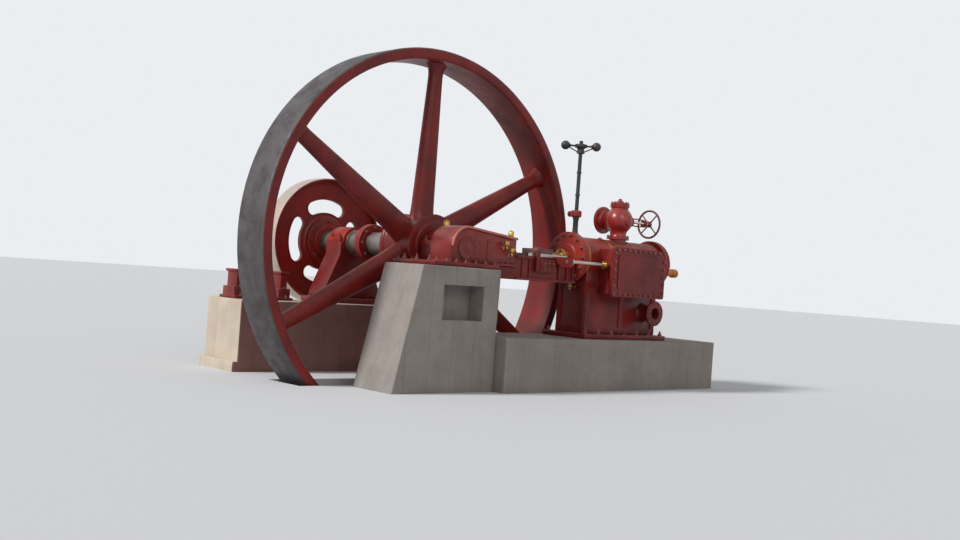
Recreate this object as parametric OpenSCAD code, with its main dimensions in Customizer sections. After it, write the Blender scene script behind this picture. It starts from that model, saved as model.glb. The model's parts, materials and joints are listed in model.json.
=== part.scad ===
// Horizontal single-cylinder stationary steam engine with a heavy flywheel.
// X runs from the crank towards the cylinder, Y along the shaft away from the crank side, Z up.
// The origin is on the foot of the crank pedestal, under the shaft axis and on the cylinder's centreline.

/* [Flywheel] */
// Outer diameter of the flywheel
wheel_d = 4270; // [3800:10:4700]
// Width of the flywheel's tread
wheel_face_w = 490; // [380:5:560]
// Radial thickness of the flywheel's rim
wheel_rim_t = 120; // [80:5:180]
// Number of spokes
spoke_count = 6; // [6:1:7]
// Width of a spoke where it leaves the hub
spoke_root_w = 300; // [240:5:330]
// Width of a spoke where it meets the rim
spoke_tip_w = 165; // [120:5:220]
// Thickness of a spoke at the hub, along the shaft
spoke_root_t = 190; // [140:5:260]
// Thickness of a spoke at the rim, along the shaft
spoke_tip_t = 130; // [90:5:180]
// Flare of a spoke where it runs into the rim, to each side
spoke_flare = 50; // [20:5:90]
// Length of that flare along the spoke
spoke_flare_l = 150; // [80:5:220]
// Turn of the first spoke from the cylinder's side
spoke_turn = 28; // [0:1:59]
// Diameter of the flywheel's hub
wheel_hub_d = 640; // [560:10:760]
// Length of the flywheel's hub
wheel_hub_w = 560; // [500:5:620]
// Height and width of the band round each end of the hub
hub_band = 26; // [10:1:40]

/* [Shaft and pulley] */
// Diameter of the shaft
shaft_d = 260; // [200:5:320]
// Diameter of the belt pulley
pulley_d = 1540; // [1200:10:1800]
// Width of the belt pulley's face
pulley_face_w = 240; // [160:5:320]
// Radial thickness of the belt pulley's rim
pulley_rim_t = 34; // [20:1:60]
// Diameter of the belt pulley's hub
pulley_hub_d = 560; // [480:5:600]
// Thickness of the plate web between the pulley's hub and rim
pulley_web_t = 40; // [24:2:60]
// Number of curved slots in the pulley's web
pulley_slots = 4; // [4:1:6]
// Radius at the middle of a slot
pulley_slot_r = 430; // [400:5:480]
// Radial width of a slot
pulley_slot_w = 160; // [100:5:180]
// Width of the web left between two slots
pulley_arm_w = 120; // [100:5:200]
// Gap between the pulley and the outboard block's far face
pulley_clear = 45; // [30:5:90]
// Length of the turned-down shaft end past the pulley
shaft_tail = 90; // [40:5:160]
// Diameter of the turned-down shaft end
shaft_end_d = 190; // [150:5:195]
// Diameter of the drive flange on the shaft
drive_flange_d = 440; // [380:5:520]
// Thickness of the drive flange
drive_flange_t = 90; // [60:5:140]
// Gap between the drive flange and the outboard block's near face
drive_flange_clear = 60; // [40:5:100]
// Running clearance round the shaft in its bearings
running_gap = 0.06; // [0.02:0.01:0.1]

/* [Foundations] */
// Drop from the shaft axis to the crank pedestal's top
pedestal_drop = 210; // [190:5:300]
// Length of the pedestal's top on the open side of the shaft
pedestal_open_l = 760; // [640:5:900]
// Length of the pedestal on the cylinder's side of the shaft
pedestal_cyl_l = 310; // [260:5:400]
// Pedestal's reach from the centreline on the crank side
pedestal_near_w = 290; // [260:5:340]
// Pedestal's reach from the centreline on the flywheel's side
pedestal_far_w = 350; // [330:5:400]
// Lean of the pedestal's end, outwards per unit of height
pedestal_batter = 0.232; // [0.1:0.002:0.3]
// Length of the square recess in the pedestal
recess_l = 550; // [400:5:620]
// Height of the square recess
recess_h = 360; // [280:5:420]
// Depth of the square recess
recess_depth = 230; // [120:5:300]
// Drop from the shaft axis to the recess's upper edge
recess_drop = 400; // [360:5:480]
// Centre of the recess from the shaft, towards the open side
recess_offset = 195; // [120:5:260]
// Drop from the shaft axis to the low foundation's top
foundation_drop = 915; // [860:5:960]
// Length of the low foundation
foundation_l = 3660; // [3500:10:3900]
// Width of the low foundation
foundation_w = 900; // [820:5:1000]
// Drop from the shaft axis to the outboard block's top
block_drop = 720; // [660:5:780]
// Outboard block's reach on the open side of the shaft
block_open_l = 1600; // [1500:10:1700]
// Outboard block's reach on the cylinder's side of the shaft
block_cyl_l = 520; // [460:5:620]
// Distance from the flywheel's middle to the outboard block's middle
block_distance = 1320; // [1250:10:1450]
// Width of the outboard block
block_w = 720; // [640:5:740]
// Width of the ledge at the outboard block's foot
block_ledge = 60; // [30:5:90]
// Height of that ledge over the lowest ground
block_ledge_h = 850; // [700:10:900]
// Room under the flywheel down to the lowest ground
pit_clear = 100; // [60:5:200]

/* [Bed and bearings] */
// Height of the bed plate on the pedestal
bed_plate_h = 46; // [36:2:60]
// Half width of the crank guard and of the bed's body
guard_half_w = 170; // [150:5:190]
// Height of the guard over the shaft axis at its crown
guard_crown_h = 222; // [200:2:250]
// Height of the guard over the shaft axis at its cylinder end
guard_low_h = 150; // [120:2:180]
// Guard's length from the shaft towards the cylinder
guard_l = 620; // [560:5:700]
// Thickness of the rolled edge along the guard's top
guard_bead = 24; // [16:1:34]
// Length of the main bearing along the shaft
bearing_l = 255; // [220:5:265]
// Width of the main bearing across the shaft
bearing_w = 470; // [430:5:520]
// Thickness of the bearing cap over the shaft
cap_t = 52; // [40:2:70]
// Length of the outboard bearing along the shaft
outer_bearing_l = 300; // [240:5:340]
// Thickness of the sole plate under the outboard bearing
sole_plate_t = 60; // [40:5:80]
// Width of the sole plate
sole_plate_w = 480; // [400:5:560]
// Height of the cradle's posts over the outboard block
cradle_h = 320; // [260:5:360]
// Distance between the cradle's posts, middle to middle
cradle_pitch = 560; // [500:5:620]
// Distance from the outboard block's open end to the cradle's middle
cradle_inset = 400; // [380:5:480]

/* [Cylinder] */
// Distance from the shaft axis to the cylinder's front flange
cylinder_x = 1620; // [1580:5:1700]
// Length of the cylinder between its flanges' outer faces
cylinder_l = 1500; // [1400:5:1560]
// Outer diameter of the lagged cylinder
cylinder_d = 500; // [460:5:520]
// Diameter of the cylinder's flanges and heads
cylinder_flange_d = 590; // [570:5:620]
// Thickness of a cylinder flange
cylinder_flange_t = 45; // [36:1:56]
// Thickness of a cylinder head's rim
head_t = 40; // [30:1:50]
// Diameter of the piston rod
piston_rod_d = 76; // [60:2:84]
// Height of the girder between the bed and the cylinder
girder_h = 270; // [240:5:290]
// Drop from the shaft axis to the girder's top
girder_drop = 30; // [20:2:50]
// Thickness of the girder's side walls
girder_wall = 52; // [40:2:60]
// Length of the steam chest
chest_l = 900; // [800:5:1000]
// Height of the steam chest
chest_h = 520; // [440:5:560]
// Depth of the steam chest from the cylinder's side
chest_depth = 190; // [150:5:220]
// Thickness of the steam chest's cover
chest_cover_t = 38; // [28:1:50]
// Distance from the cylinder's front flange to the chest's middle
chest_x = 760; // [720:5:820]

/* [Throttle valve] */
// Distance from the shaft axis to the throttle valve's middle
throttle_x = 2480; // [2430:5:2500]
// Diameter of the throttle valve's globe
throttle_globe_d = 330; // [290:5:350]
// Height of the globe's middle over the shaft axis
throttle_globe_h = 500; // [490:5:560]
// Diameter of the valve's flanges
throttle_flange_d = 330; // [300:5:360]
// Thickness of the valve's flanges
throttle_flange_t = 32; // [24:1:40]
// Diameter of the valve's necks
throttle_neck_d = 200; // [170:5:230]
// Bore of the steam inlet
steam_bore_d = 125; // [90:5:140]
// Diameter of the throttle's hand wheel
hand_wheel_d = 360; // [300:5:420]
// Thickness of the hand wheel's rim
hand_wheel_t = 26; // [18:1:32]
// Distance from the valve's middle to the hand wheel
hand_wheel_reach = 560; // [520:5:620]
// Diameter of the valve's spindle
spindle_d = 34; // [26:1:40]

/* [Governor] */
// Distance from the shaft axis to the governor's column
governor_x = 1715; // [1700:5:1740]
// Height of the governor's collar over the shaft axis
governor_collar_h = 470; // [430:5:520]
// Diameter of the governor's column
governor_column_d = 74; // [60:2:90]
// Diameter of the governor's stem
governor_stem_d = 44; // [34:2:52]
// Height of the governor's head over the shaft axis
governor_head_h = 1300; // [1240:5:1360]
// Distance between the governor's balls
governor_span = 360; // [320:5:400]
// Turn of the governor's arms about the column, from the cylinder's direction
governor_turn = -42; // [-90:1:90]
// Diameter of a governor ball
governor_ball_d = 104; // [90:2:120]

/* [Hidden] */
$fn = 64;
e = 1;
wheel_r = wheel_d / 2;
axis_h = wheel_r + pit_clear;
shaft_r = shaft_d / 2;
bore_r = shaft_r + running_gap;
rim_inner_r = wheel_r - wheel_rim_t;
hub_gap = 35;
bearing_y = guard_half_w;
hub_y = bearing_y + bearing_l + hub_gap;
wheel_mid_y = hub_y + wheel_hub_w / 2;
shaft_start_y = bearing_y + 12;
pedestal_top = axis_h - pedestal_drop;
foundation_top = axis_h - foundation_drop;
block_top = axis_h - block_drop;
block_mid_y = wheel_mid_y + block_distance;
block_near_y = block_mid_y - block_w / 2;
block_far_y = block_mid_y + block_w / 2;
outer_bearing_y0 = block_mid_y - outer_bearing_l / 2;
pulley_y = block_far_y + pulley_clear;
drive_flange_y = block_near_y - drive_flange_clear - drive_flange_t;
shaft_shoulder_y = pulley_y + pulley_face_w;
cylinder_end_x = cylinder_x + cylinder_l;
cylinder_r = cylinder_d / 2;
girder_top = axis_h - girder_drop;
girder_bottom = girder_top - girder_h;
rod_r = piston_rod_d / 2;

module along_x(x, y, z) {
    translate([x, y, z]) rotate([0, 90, 0]) children();
}

module along_y(x, y, z) {
    translate([x, y, z]) rotate([-90, 0, 0]) children();
}

module block(x0, x1, y0, y1, z0, z1) {
    translate([x0, y0, z0]) cube([x1 - x0, y1 - y0, z1 - z0]);
}

// Concrete pedestal under the crank, with one leaning end and a square recess in its side
module crank_pedestal() {
    foot_l = pedestal_open_l + pedestal_top * pedestal_batter;
    recess_mid_x = -recess_offset;
    color("#8f8578")
    difference() {
        translate([0, pedestal_far_w, 0]) rotate([90, 0, 0])
            linear_extrude(pedestal_near_w + pedestal_far_w)
            polygon([[-foot_l, 0], [pedestal_cyl_l, 0], [pedestal_cyl_l, pedestal_top],
                [-pedestal_open_l, pedestal_top]]);
        block(recess_mid_x - recess_l / 2, recess_mid_x + recess_l / 2,
            -pedestal_near_w - e, -pedestal_near_w + recess_depth,
            axis_h - recess_drop - recess_h, axis_h - recess_drop);
    }
}

// Low concrete foundation under the cylinder
module cylinder_foundation() {
    color("#8f8578")
    block(pedestal_cyl_l, pedestal_cyl_l + foundation_l, -foundation_w / 2, foundation_w / 2,
        0, foundation_top);
}

// Long concrete block beyond the flywheel, with a ledge at its foot
module outboard_block() {
    color("#a59a88") {
        block(-block_open_l, block_cyl_l, block_near_y, block_far_y, 0, block_top);
        block(-block_open_l - block_ledge, -block_open_l, block_near_y, block_far_y, 0, block_ledge_h);
    }
}

// Cast bed plate that carries the guard and the main bearing
bed_plate_top = pedestal_top + bed_plate_h;
bed_plate_inset = 160;
bed_plate_edge = 30;
module bed_plate() {
    color("#7a2620")
    block(bed_plate_inset - pedestal_open_l, pedestal_cyl_l, bed_plate_edge - pedestal_near_w,
        bearing_y + bearing_l, pedestal_top, bed_plate_top);
}

// Closed cast guard round the crank and the connecting rod: a round crown, then a sloping top
guard_round_x = -95;
guard_drop = axis_h - bed_plate_top;
module guard_outline(inset) {
    crown_r = guard_crown_h - inset;
    open_x = guard_round_x - crown_r;
    end_x = guard_l - inset;
    intersection() {
        union() {
            translate([guard_round_x, 0]) circle(r = crown_r);
            polygon([[guard_round_x, -guard_drop], [end_x, -guard_drop], [end_x, guard_low_h - inset],
                [guard_round_x, crown_r]]);
            translate([open_x, -guard_drop]) square([crown_r, guard_drop]);
        }
        translate([open_x, -guard_drop]) square([end_x - open_x, guard_drop + crown_r]);
    }
}

module crank_guard() {
    color("#80241f")
    translate([0, guard_half_w, axis_h]) rotate([90, 0, 0])
        linear_extrude(2 * guard_half_w) guard_outline(0);
}

// Rolled bead along the crank side of the guard's top edge
module guard_edge_bead() {
    open_x = guard_round_x - guard_crown_h;
    color("#a8554c")
    translate([0, -guard_half_w, axis_h]) rotate([90, 0, 0])
        linear_extrude(guard_bead)
        intersection() {
            difference() {
                guard_outline(0);
                guard_outline(guard_bead);
                translate([guard_l - guard_bead - e, -e])
                    square([guard_bead + 2 * e, guard_low_h - guard_bead + e]);
            }
            translate([open_x, 0]) square([guard_l - open_x, guard_crown_h]);
        }
}

// Bore for the shaft through a bearing that starts at y0 and is as long as l
module shaft_bore(y0, l) {
    along_y(0, y0 - e, axis_h) cylinder(r = bore_r, h = l + 2 * e);
}

// Round cap of a shaft bearing, with flat ears as wide as w
cap_ear_inset = 20;
module bearing_cap(w, y0, l) {
    cap_top = bore_r + cap_t;
    difference() {
        union() {
            block(-w / 2, w / 2, y0 + cap_ear_inset, y0 + l - cap_ear_inset, axis_h, axis_h + cap_t);
            intersection() {
                along_y(0, y0, axis_h) cylinder(r = cap_top, h = l);
                block(-cap_top, cap_top, y0, y0 + l, axis_h, axis_h + cap_top);
            }
        }
        shaft_bore(y0, l);
    }
}

module main_bearing_base() {
    color("#7a2620")
    difference() {
        block(-bearing_w / 2, bearing_w / 2, bearing_y, bearing_y + bearing_l, bed_plate_top, axis_h);
        shaft_bore(bearing_y, bearing_l);
    }
}

module main_bearing_cap() {
    color("#8d2b24") bearing_cap(bearing_w, bearing_y, bearing_l);
}

// Oil cup on a short neck
module oil_cup(r, h) {
    cylinder(r = r * 0.4, h = h * 0.4);
    translate([0, 0, h * 0.4]) cylinder(r1 = r * 0.6, r2 = r, h = h * 0.15);
    translate([0, 0, h * 0.55]) cylinder(r = r, h = h * 0.3);
    translate([0, 0, h * 0.85]) cylinder(r1 = r, r2 = r * 0.5, h = h * 0.15);
}

oiler_r = 38;
oiler_h = 110;
module main_bearing_oiler() {
    color("#b9a06a")
    translate([0, bearing_y + bearing_l / 2, axis_h + bore_r + cap_t]) oil_cup(oiler_r, oiler_h);
}

// Two brass oil cups on short arms at the guard's cylinder end: distance from that end, and height
guard_cups = [[190, 40], [110, -40]];
cup_r = 30;
cup_arm_l = 46;
cup_neck_h = 28;
module guard_oil_cups() {
    neck_r = cup_neck_h / 2;
    color("#c08a2e")
    for (cup = guard_cups)
        translate([guard_l - cup[0], -guard_half_w, axis_h + cup[1]]) {
            rotate([90, 0, 0]) cylinder(r = neck_r - 3, h = cup_arm_l);
            translate([0, -cup_arm_l, -neck_r]) {
                cylinder(r = neck_r, h = cup_neck_h);
                translate([0, 0, cup_neck_h]) cylinder(r = cup_r, h = 52);
            }
        }
}

// Girder from the bed to the cylinder, an open trough between two walls
trough_drop = 150;
module bed_girder() {
    inner_w = guard_half_w - girder_wall;
    color("#7a2620")
    difference() {
        block(guard_l, cylinder_x - head_t, -guard_half_w, guard_half_w, girder_bottom, girder_top);
        block(guard_l - e, cylinder_x - head_t + e, -inner_w, inner_w,
            axis_h - trough_drop, girder_top + e);
    }
    color("#7a2620")
    block(pedestal_cyl_l, guard_l, -guard_half_w, guard_half_w, girder_bottom, bed_plate_top);
}

// Crosshead block on the piston rod, between the girder's walls
crosshead_reach = 500;
crosshead_x = guard_l + crosshead_reach;
crosshead_l = 260;
crosshead_gap = 0.5;
crosshead_over_rod = 24;
module crosshead() {
    half_w = guard_half_w - girder_wall - crosshead_gap;
    color("#6d6a66")
    difference() {
        block(crosshead_x - crosshead_l / 2, crosshead_x + crosshead_l / 2, -half_w, half_w,
            axis_h - trough_drop, axis_h + rod_r + crosshead_over_rod);
        along_x(crosshead_x, 0, axis_h) cylinder(r = rod_r, h = crosshead_l);
    }
}

// Slide bar along the top of a girder wall
slide_bar_t = 34;
slide_bar_l = 620;
module slide_bar(side) {
    y0 = side * (guard_half_w - girder_wall / 2);
    color("#8d2b24")
    block(crosshead_x - slide_bar_l / 2, crosshead_x + slide_bar_l / 2,
        y0 - girder_wall / 2, y0 + girder_wall / 2, girder_top, girder_top + slide_bar_t);
}

module slide_bar_near() {
    slide_bar(-1);
}

module slide_bar_far() {
    slide_bar(1);
}

// Box bracket with an upright post on the girder's crank side
bracket_back = 160;
bracket_x = crosshead_x - bracket_back;
bracket_l = 240;
bracket_reach = 60;
bracket_drop = 200;
bracket_h = 140;
post_l = 55;
post_reach = 45;
post_h = 245;
module girder_bracket() {
    foot_z = axis_h - bracket_drop;
    color("#8d2b24") {
        block(bracket_x, bracket_x + bracket_l, -guard_half_w - bracket_reach, -guard_half_w,
            foot_z, foot_z + bracket_h);
        block(bracket_x - post_l, bracket_x, -guard_half_w - post_reach, -guard_half_w,
            foot_z, foot_z + post_h);
    }
}

// Piston rod from the crosshead to its gland, a flanged sleeve on the front head
gland_l = 90;
gland_wall = 30;
gland_flange_reach = 52;
gland_flange_t = 26;
gland_x0 = cylinder_x - head_t - gland_l;
module piston_rod() {
    color("#b9b6b0")
    along_x(crosshead_x, 0, axis_h) cylinder(r = rod_r, h = gland_x0 - crosshead_x);
}

module piston_rod_gland() {
    color("#b08c46")
    along_x(gland_x0, 0, axis_h) {
        cylinder(r = rod_r + gland_flange_reach, h = gland_flange_t);
        cylinder(r = rod_r + gland_wall, h = gland_l);
    }
}

// Cylinder heads: a flat rim and a raised middle
module front_cylinder_head() {
    color("#7a2620")
    along_x(cylinder_x - head_t, 0, axis_h) cylinder(r = cylinder_flange_d / 2, h = head_t);
}

head_boss_t = 45;
back_face_x = cylinder_end_x + head_t + head_boss_t;
module back_cylinder_head() {
    color("#7a2620")
    along_x(cylinder_end_x, 0, axis_h) {
        cylinder(r = cylinder_flange_d / 2, h = head_t);
        translate([0, 0, head_t]) cylinder(r1 = cylinder_r * 0.72, r2 = cylinder_r * 0.6, h = head_boss_t);
    }
}

module steam_cylinder() {
    color("#7f2a22")
    along_x(cylinder_x, 0, axis_h) {
        cylinder(r = cylinder_flange_d / 2, h = cylinder_flange_t);
        cylinder(r = cylinder_r, h = cylinder_l);
        translate([0, 0, cylinder_l - cylinder_flange_t])
            cylinder(r = cylinder_flange_d / 2, h = cylinder_flange_t);
    }
}

// Deep cast stand between the low foundation and the cylinder
stand_half_w = 215;
stand_inset = 60;
stand_foot_half_w = 330;
stand_foot_reach = 90;
stand_foot_t = 55;
stand_x0 = cylinder_x + cylinder_flange_t + stand_inset;
stand_x1 = cylinder_end_x - cylinder_flange_t - stand_inset;
module cylinder_stand() {
    color("#6f2019")
    difference() {
        union() {
            block(stand_x0, stand_x1, -stand_half_w, stand_half_w, foundation_top, axis_h);
            block(stand_x0 - stand_foot_reach, stand_x1 + stand_foot_reach, -stand_foot_half_w,
                stand_foot_half_w, foundation_top, foundation_top + stand_foot_t);
        }
        along_x(stand_x0 - e, 0, axis_h) cylinder(r = cylinder_r, h = stand_x1 - stand_x0 + 2 * e);
    }
}

// Steam chest on the crank side of the cylinder, with its cover
chest_mid_x = cylinder_x + chest_x;
chest_x0 = chest_mid_x - chest_l / 2;
chest_x1 = chest_mid_x + chest_l / 2;
chest_y = -cylinder_r - chest_depth;
chest_rise = 130;
chest_top = axis_h + chest_rise;
cover_reach = 25;
module steam_chest() {
    color("#7a2620")
    difference() {
        block(chest_x0, chest_x1, chest_y, -stand_half_w, chest_top - chest_h, chest_top);
        along_x(chest_x0 - e, 0, axis_h) cylinder(r = cylinder_r, h = chest_l + 2 * e);
    }
}

module steam_chest_cover() {
    color("#85271f")
    block(chest_x0 - cover_reach, chest_x1 + cover_reach, chest_y - chest_cover_t, chest_y,
        chest_top - chest_h - cover_reach, chest_top + cover_reach);
}

// Valve rod from its guide on the girder to the steam chest, with its gland
valve_rod_start = 120;
valve_rod_drop = 60;
valve_rod_x = crosshead_x + valve_rod_start;
valve_rod_y = -cylinder_r - chest_depth / 2;
valve_rod_z = axis_h - valve_rod_drop;
valve_rod_r = 20;
valve_gland_r = 46;
valve_gland_l = 70;
valve_guide_l = 70;
valve_guide_h = 100;
module valve_rod() {
    guide_z = valve_rod_z - valve_guide_h * 0.6;
    color("#a9a59e")
    along_x(valve_rod_x, valve_rod_y, valve_rod_z) cylinder(r = valve_rod_r, h = chest_x0 - valve_rod_x);
    color("#a9a59e")
    along_x(chest_x0 - valve_gland_l, valve_rod_y, valve_rod_z)
        cylinder(r = valve_gland_r, h = valve_gland_l);
    color("#8d2b24")
    block(valve_rod_x, valve_rod_x + valve_guide_l, valve_rod_y - valve_rod_r * 2, -guard_half_w,
        guide_z, guide_z + valve_guide_h);
}

// Exhaust branch under the chest's far end, with the flange for the pipe that leads away
exhaust_r = 95;
exhaust_bore_r = 70;
exhaust_bore_l = 149;
exhaust_neck_l = 170;
exhaust_flange_r = 150;
exhaust_flange_t = 30;
exhaust_inset = 240;
exhaust_drop = 590;
exhaust_x = stand_x1 - exhaust_inset;
exhaust_z = axis_h - exhaust_drop;
module exhaust_elbow() {
    neck_y = -stand_half_w - exhaust_neck_l;
    face_y = neck_y - exhaust_flange_t;
    color("#6f2019")
    difference() {
        union() {
            along_y(exhaust_x, neck_y, exhaust_z) cylinder(r = exhaust_r, h = exhaust_neck_l);
            along_y(exhaust_x, face_y, exhaust_z) cylinder(r = exhaust_flange_r, h = exhaust_flange_t);
        }
        along_y(exhaust_x, face_y - e, exhaust_z) cylinder(r = exhaust_bore_r, h = exhaust_bore_l + e);
    }
}

// Relief valve and tail gland at the cylinder's far end
relief_body_r = 34;
relief_body_h = 56;
relief_head_r = 48;
relief_head_h = 54;
relief_tip_h = 30;
relief_stub_r = 20;
relief_reach = 55;
relief_rise = 40;
module relief_valve() {
    color("#b5552a")
    translate([back_face_x + relief_reach, 0, axis_h + relief_rise]) {
        along_x(-relief_reach, 0, relief_body_h / 2) cylinder(r = relief_stub_r, h = relief_reach);
        cylinder(r = relief_body_r, h = relief_body_h);
        translate([0, 0, relief_body_h]) cylinder(r = relief_head_r, h = relief_head_h);
        translate([0, 0, relief_body_h + relief_head_h])
            cylinder(r1 = relief_head_r - 8, r2 = relief_stub_r - 2, h = relief_tip_h);
    }
}

tail_drop = 80;
tail_l = 450;
tail_sleeve_r = 40;
tail_flange_r = 62;
tail_flange_t = 70;
tail_cap_r = 55;
tail_cap_l = 90;
module tail_gland() {
    color("#a8642c")
    along_x(back_face_x, 0, axis_h - tail_drop) {
        cylinder(r = tail_flange_r, h = tail_flange_t);
        cylinder(r = tail_sleeve_r, h = tail_l - tail_cap_l / 2);
        translate([0, 0, tail_l - tail_cap_l]) cylinder(r = tail_cap_r, h = tail_cap_l);
    }
}

// Drain cocks under the cylinder's two ends, each a pipe, a round plug body and a lever
cock_inset = cylinder_flange_t + 30;
cock_drop = 120;
cock_plug_z = 40;
cock_pipe_r = 16;
cock_plug_r = 26;
cock_lever_r = 8;
cock_lever_l = 95;
module drain_cocks() {
    color("#b08c46")
    difference() {
        for (x = [cylinder_x + cock_inset, cylinder_end_x - cock_inset])
            translate([x, 0, axis_h - cylinder_r - cock_drop]) {
                cylinder(r = cock_pipe_r, h = cock_drop + cock_pipe_r);
                translate([0, 0, cock_plug_z]) sphere(r = cock_plug_r);
                along_y(0, -cock_lever_l, cock_plug_z) cylinder(r = cock_lever_r, h = cock_lever_l);
            }
        along_x(cylinder_x, 0, axis_h) cylinder(r = cylinder_r, h = cylinder_l);
    }
}

// Throttle valve: foot flange, narrow neck, globe and a side flange for the steam pipe
cylinder_top = axis_h + cylinder_r;
throttle_z = axis_h + throttle_globe_h;
globe_r = throttle_globe_d / 2;
neck_r = throttle_neck_d / 2;
inlet_l = globe_r + 70;
inlet_bore_l = 152;
inlet_bolt_inset = 28;
inlet_bolt_r = 11;
inlet_bolts = 8;
foot_flange_r = throttle_flange_d / 2 - 30;
foot_flange_z = 16;
bonnet_gap = 12;
bonnet_z = throttle_z + globe_r + bonnet_gap;
yoke_foot_r = 62;
yoke_gap = 30;
module throttle_valve_body() {
    face_y = inlet_l + throttle_flange_t;
    color("#a8281f")
    difference() {
        union() {
            difference() {
                translate([throttle_x, 0, axis_h]) cylinder(r = neck_r, h = throttle_globe_h);
                along_x(throttle_x - neck_r - e, 0, axis_h) cylinder(r = cylinder_r, h = 2 * (neck_r + e));
            }
            translate([throttle_x, 0, cylinder_top + foot_flange_z])
                cylinder(r = foot_flange_r, h = throttle_flange_t);
            translate([throttle_x, 0, throttle_z]) sphere(r = globe_r);
            translate([throttle_x, 0, throttle_z]) cylinder(r = neck_r, h = globe_r + bonnet_gap);
            along_y(throttle_x, 0, throttle_z) cylinder(r = neck_r, h = inlet_l);
            along_y(throttle_x, inlet_l, throttle_z)
                cylinder(r = throttle_flange_d / 2, h = throttle_flange_t);
            along_x(throttle_x, 0, throttle_z) cylinder(r = yoke_foot_r, h = globe_r + yoke_gap);
        }
        along_y(throttle_x, face_y - inlet_bore_l, throttle_z)
            cylinder(r = steam_bore_d / 2, h = inlet_bore_l + e);
        for (i = [0:inlet_bolts - 1])
            along_y(throttle_x, inlet_l - e, throttle_z) rotate([0, 0, (i + 0.5) * 360 / inlet_bolts])
                translate([throttle_flange_d / 2 - inlet_bolt_inset, 0, 0])
                cylinder(r = inlet_bolt_r, h = throttle_flange_t + 2 * e);
    }
}

bonnet_flange_t = 26;
bonnet_dome_h = 34;
bonnet_stud_h = 24;
module throttle_bonnet() {
    color("#c23a2c")
    translate([throttle_x, 0, bonnet_z]) {
        cylinder(r = neck_r + 16, h = bonnet_flange_t);
        translate([0, 0, bonnet_flange_t]) cylinder(r1 = neck_r * 0.6, r2 = neck_r * 0.34, h = bonnet_dome_h);
        translate([0, 0, bonnet_flange_t + bonnet_dome_h]) cylinder(r = neck_r * 0.22, h = bonnet_stud_h);
    }
}

// Yoke that carries the spindle, with a collar near its end, and the spindle that sticks out of it
yoke_x0 = throttle_x + globe_r + yoke_gap;
yoke_l = hand_wheel_reach - globe_r - yoke_gap - 80;
yoke_r = 30;
yoke_flange_t = 22;
yoke_collar_r = 40;
yoke_collar_l = 30;
spindle_out_l = 120;
module throttle_yoke() {
    color("#7a2620")
    along_x(yoke_x0, 0, throttle_z) {
        cylinder(r = yoke_foot_r, h = yoke_flange_t);
        cylinder(r = yoke_r, h = yoke_l);
        translate([0, 0, yoke_l - 20]) cylinder(r = yoke_collar_r, h = yoke_collar_l);
    }
    color("#b9b6b0")
    along_x(yoke_x0 + yoke_l, 0, throttle_z) cylinder(r = spindle_d / 2, h = spindle_out_l);
}

hand_wheel_x = throttle_x + hand_wheel_reach;
hand_wheel_arms = 4;
hand_arm_w = 22;
hand_arm_inset = 4;
hand_hub_r = 38;
module throttle_handwheel() {
    ring_r = (hand_wheel_d - hand_wheel_t) / 2;
    color("#6e4a35")
    along_x(hand_wheel_x, 0, throttle_z)
    difference() {
        union() {
            translate([0, 0, hand_wheel_t / 2]) rotate_extrude()
                translate([ring_r, 0]) circle(r = hand_wheel_t / 2, $fn = 24);
            cylinder(r = hand_hub_r, h = hand_wheel_t);
            for (i = [0:hand_wheel_arms - 1])
                rotate([0, 0, (i + 0.5) * 360 / hand_wheel_arms])
                    translate([0, -hand_arm_w / 2, hand_arm_inset])
                    cube([ring_r, hand_arm_w, hand_wheel_t - 2 * hand_arm_inset]);
        }
        translate([0, 0, -e]) cylinder(r = spindle_d / 2 + running_gap, h = hand_wheel_t + 2 * e);
    }
}

// Governor column from the cylinder's front up to the collar, then a thin stem
collar_z = axis_h + governor_collar_h;
head_z = axis_h + governor_head_h;
stem_top = head_z + 60;
stem_r = governor_stem_d / 2;
column_foot_reach = 9;
column_foot_h = 40;
module governor_column() {
    column_r = governor_column_d / 2;
    color("#2b2a29")
    difference() {
        translate([governor_x, 0, axis_h]) {
            cylinder(r = column_r + column_foot_reach, h = cylinder_r + column_foot_h);
            cylinder(r = column_r, h = governor_collar_h);
        }
        along_x(governor_x - governor_column_d, 0, axis_h)
            cylinder(r = cylinder_r, h = 2 * governor_column_d);
    }
    color("#2b2a29")
    translate([governor_x, 0, collar_z]) cylinder(r = stem_r, h = stem_top - collar_z);
}

// Collar on the column, with a cross boss for the governor's side shaft
collar_r = 62;
collar_h = 80;
boss_r = 34;
boss_start = -40;
boss_l = 150;
module governor_collar() {
    color("#a33226")
    translate([governor_x, 0, collar_z])
    difference() {
        union() {
            cylinder(r = collar_r, h = collar_h);
            along_y(0, boss_start, collar_h / 2) cylinder(r = boss_r, h = boss_l);
        }
        translate([0, 0, -e]) cylinder(r = stem_r, h = collar_h + 2 * e);
    }
}

// Turning head on the stem: sleeve, disc and the two arms that carry the balls
sleeve_r = stem_r + 24;
sleeve_below = 90;
head_disc_reach = 26;
head_disc_t = 40;
head_arm_w = 26;
head_arm_t = 24;
module at_head() {
    translate([governor_x, 0, head_z]) rotate([0, 0, governor_turn]) children();
}

module head_arms(fit = 0) {
    l = governor_span + 2 * fit;
    w = head_arm_w + 2 * fit;
    t = head_arm_t + 2 * fit;
    at_head() translate([-l / 2, -w / 2, -t / 2]) cube([l, w, t]);
}

module governor_sleeve() {
    sleeve_z = head_z - sleeve_below;
    color("#2b2a29")
    difference() {
        union() {
            translate([governor_x, 0, sleeve_z]) cylinder(r = sleeve_r, h = sleeve_below);
            translate([governor_x, 0, head_z - head_disc_t / 2])
                cylinder(r = sleeve_r + head_disc_reach, h = head_disc_t);
            head_arms();
        }
        translate([governor_x, 0, sleeve_z - e])
            cylinder(r = stem_r + running_gap, h = sleeve_below + head_disc_t + 2 * e);
    }
}

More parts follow.
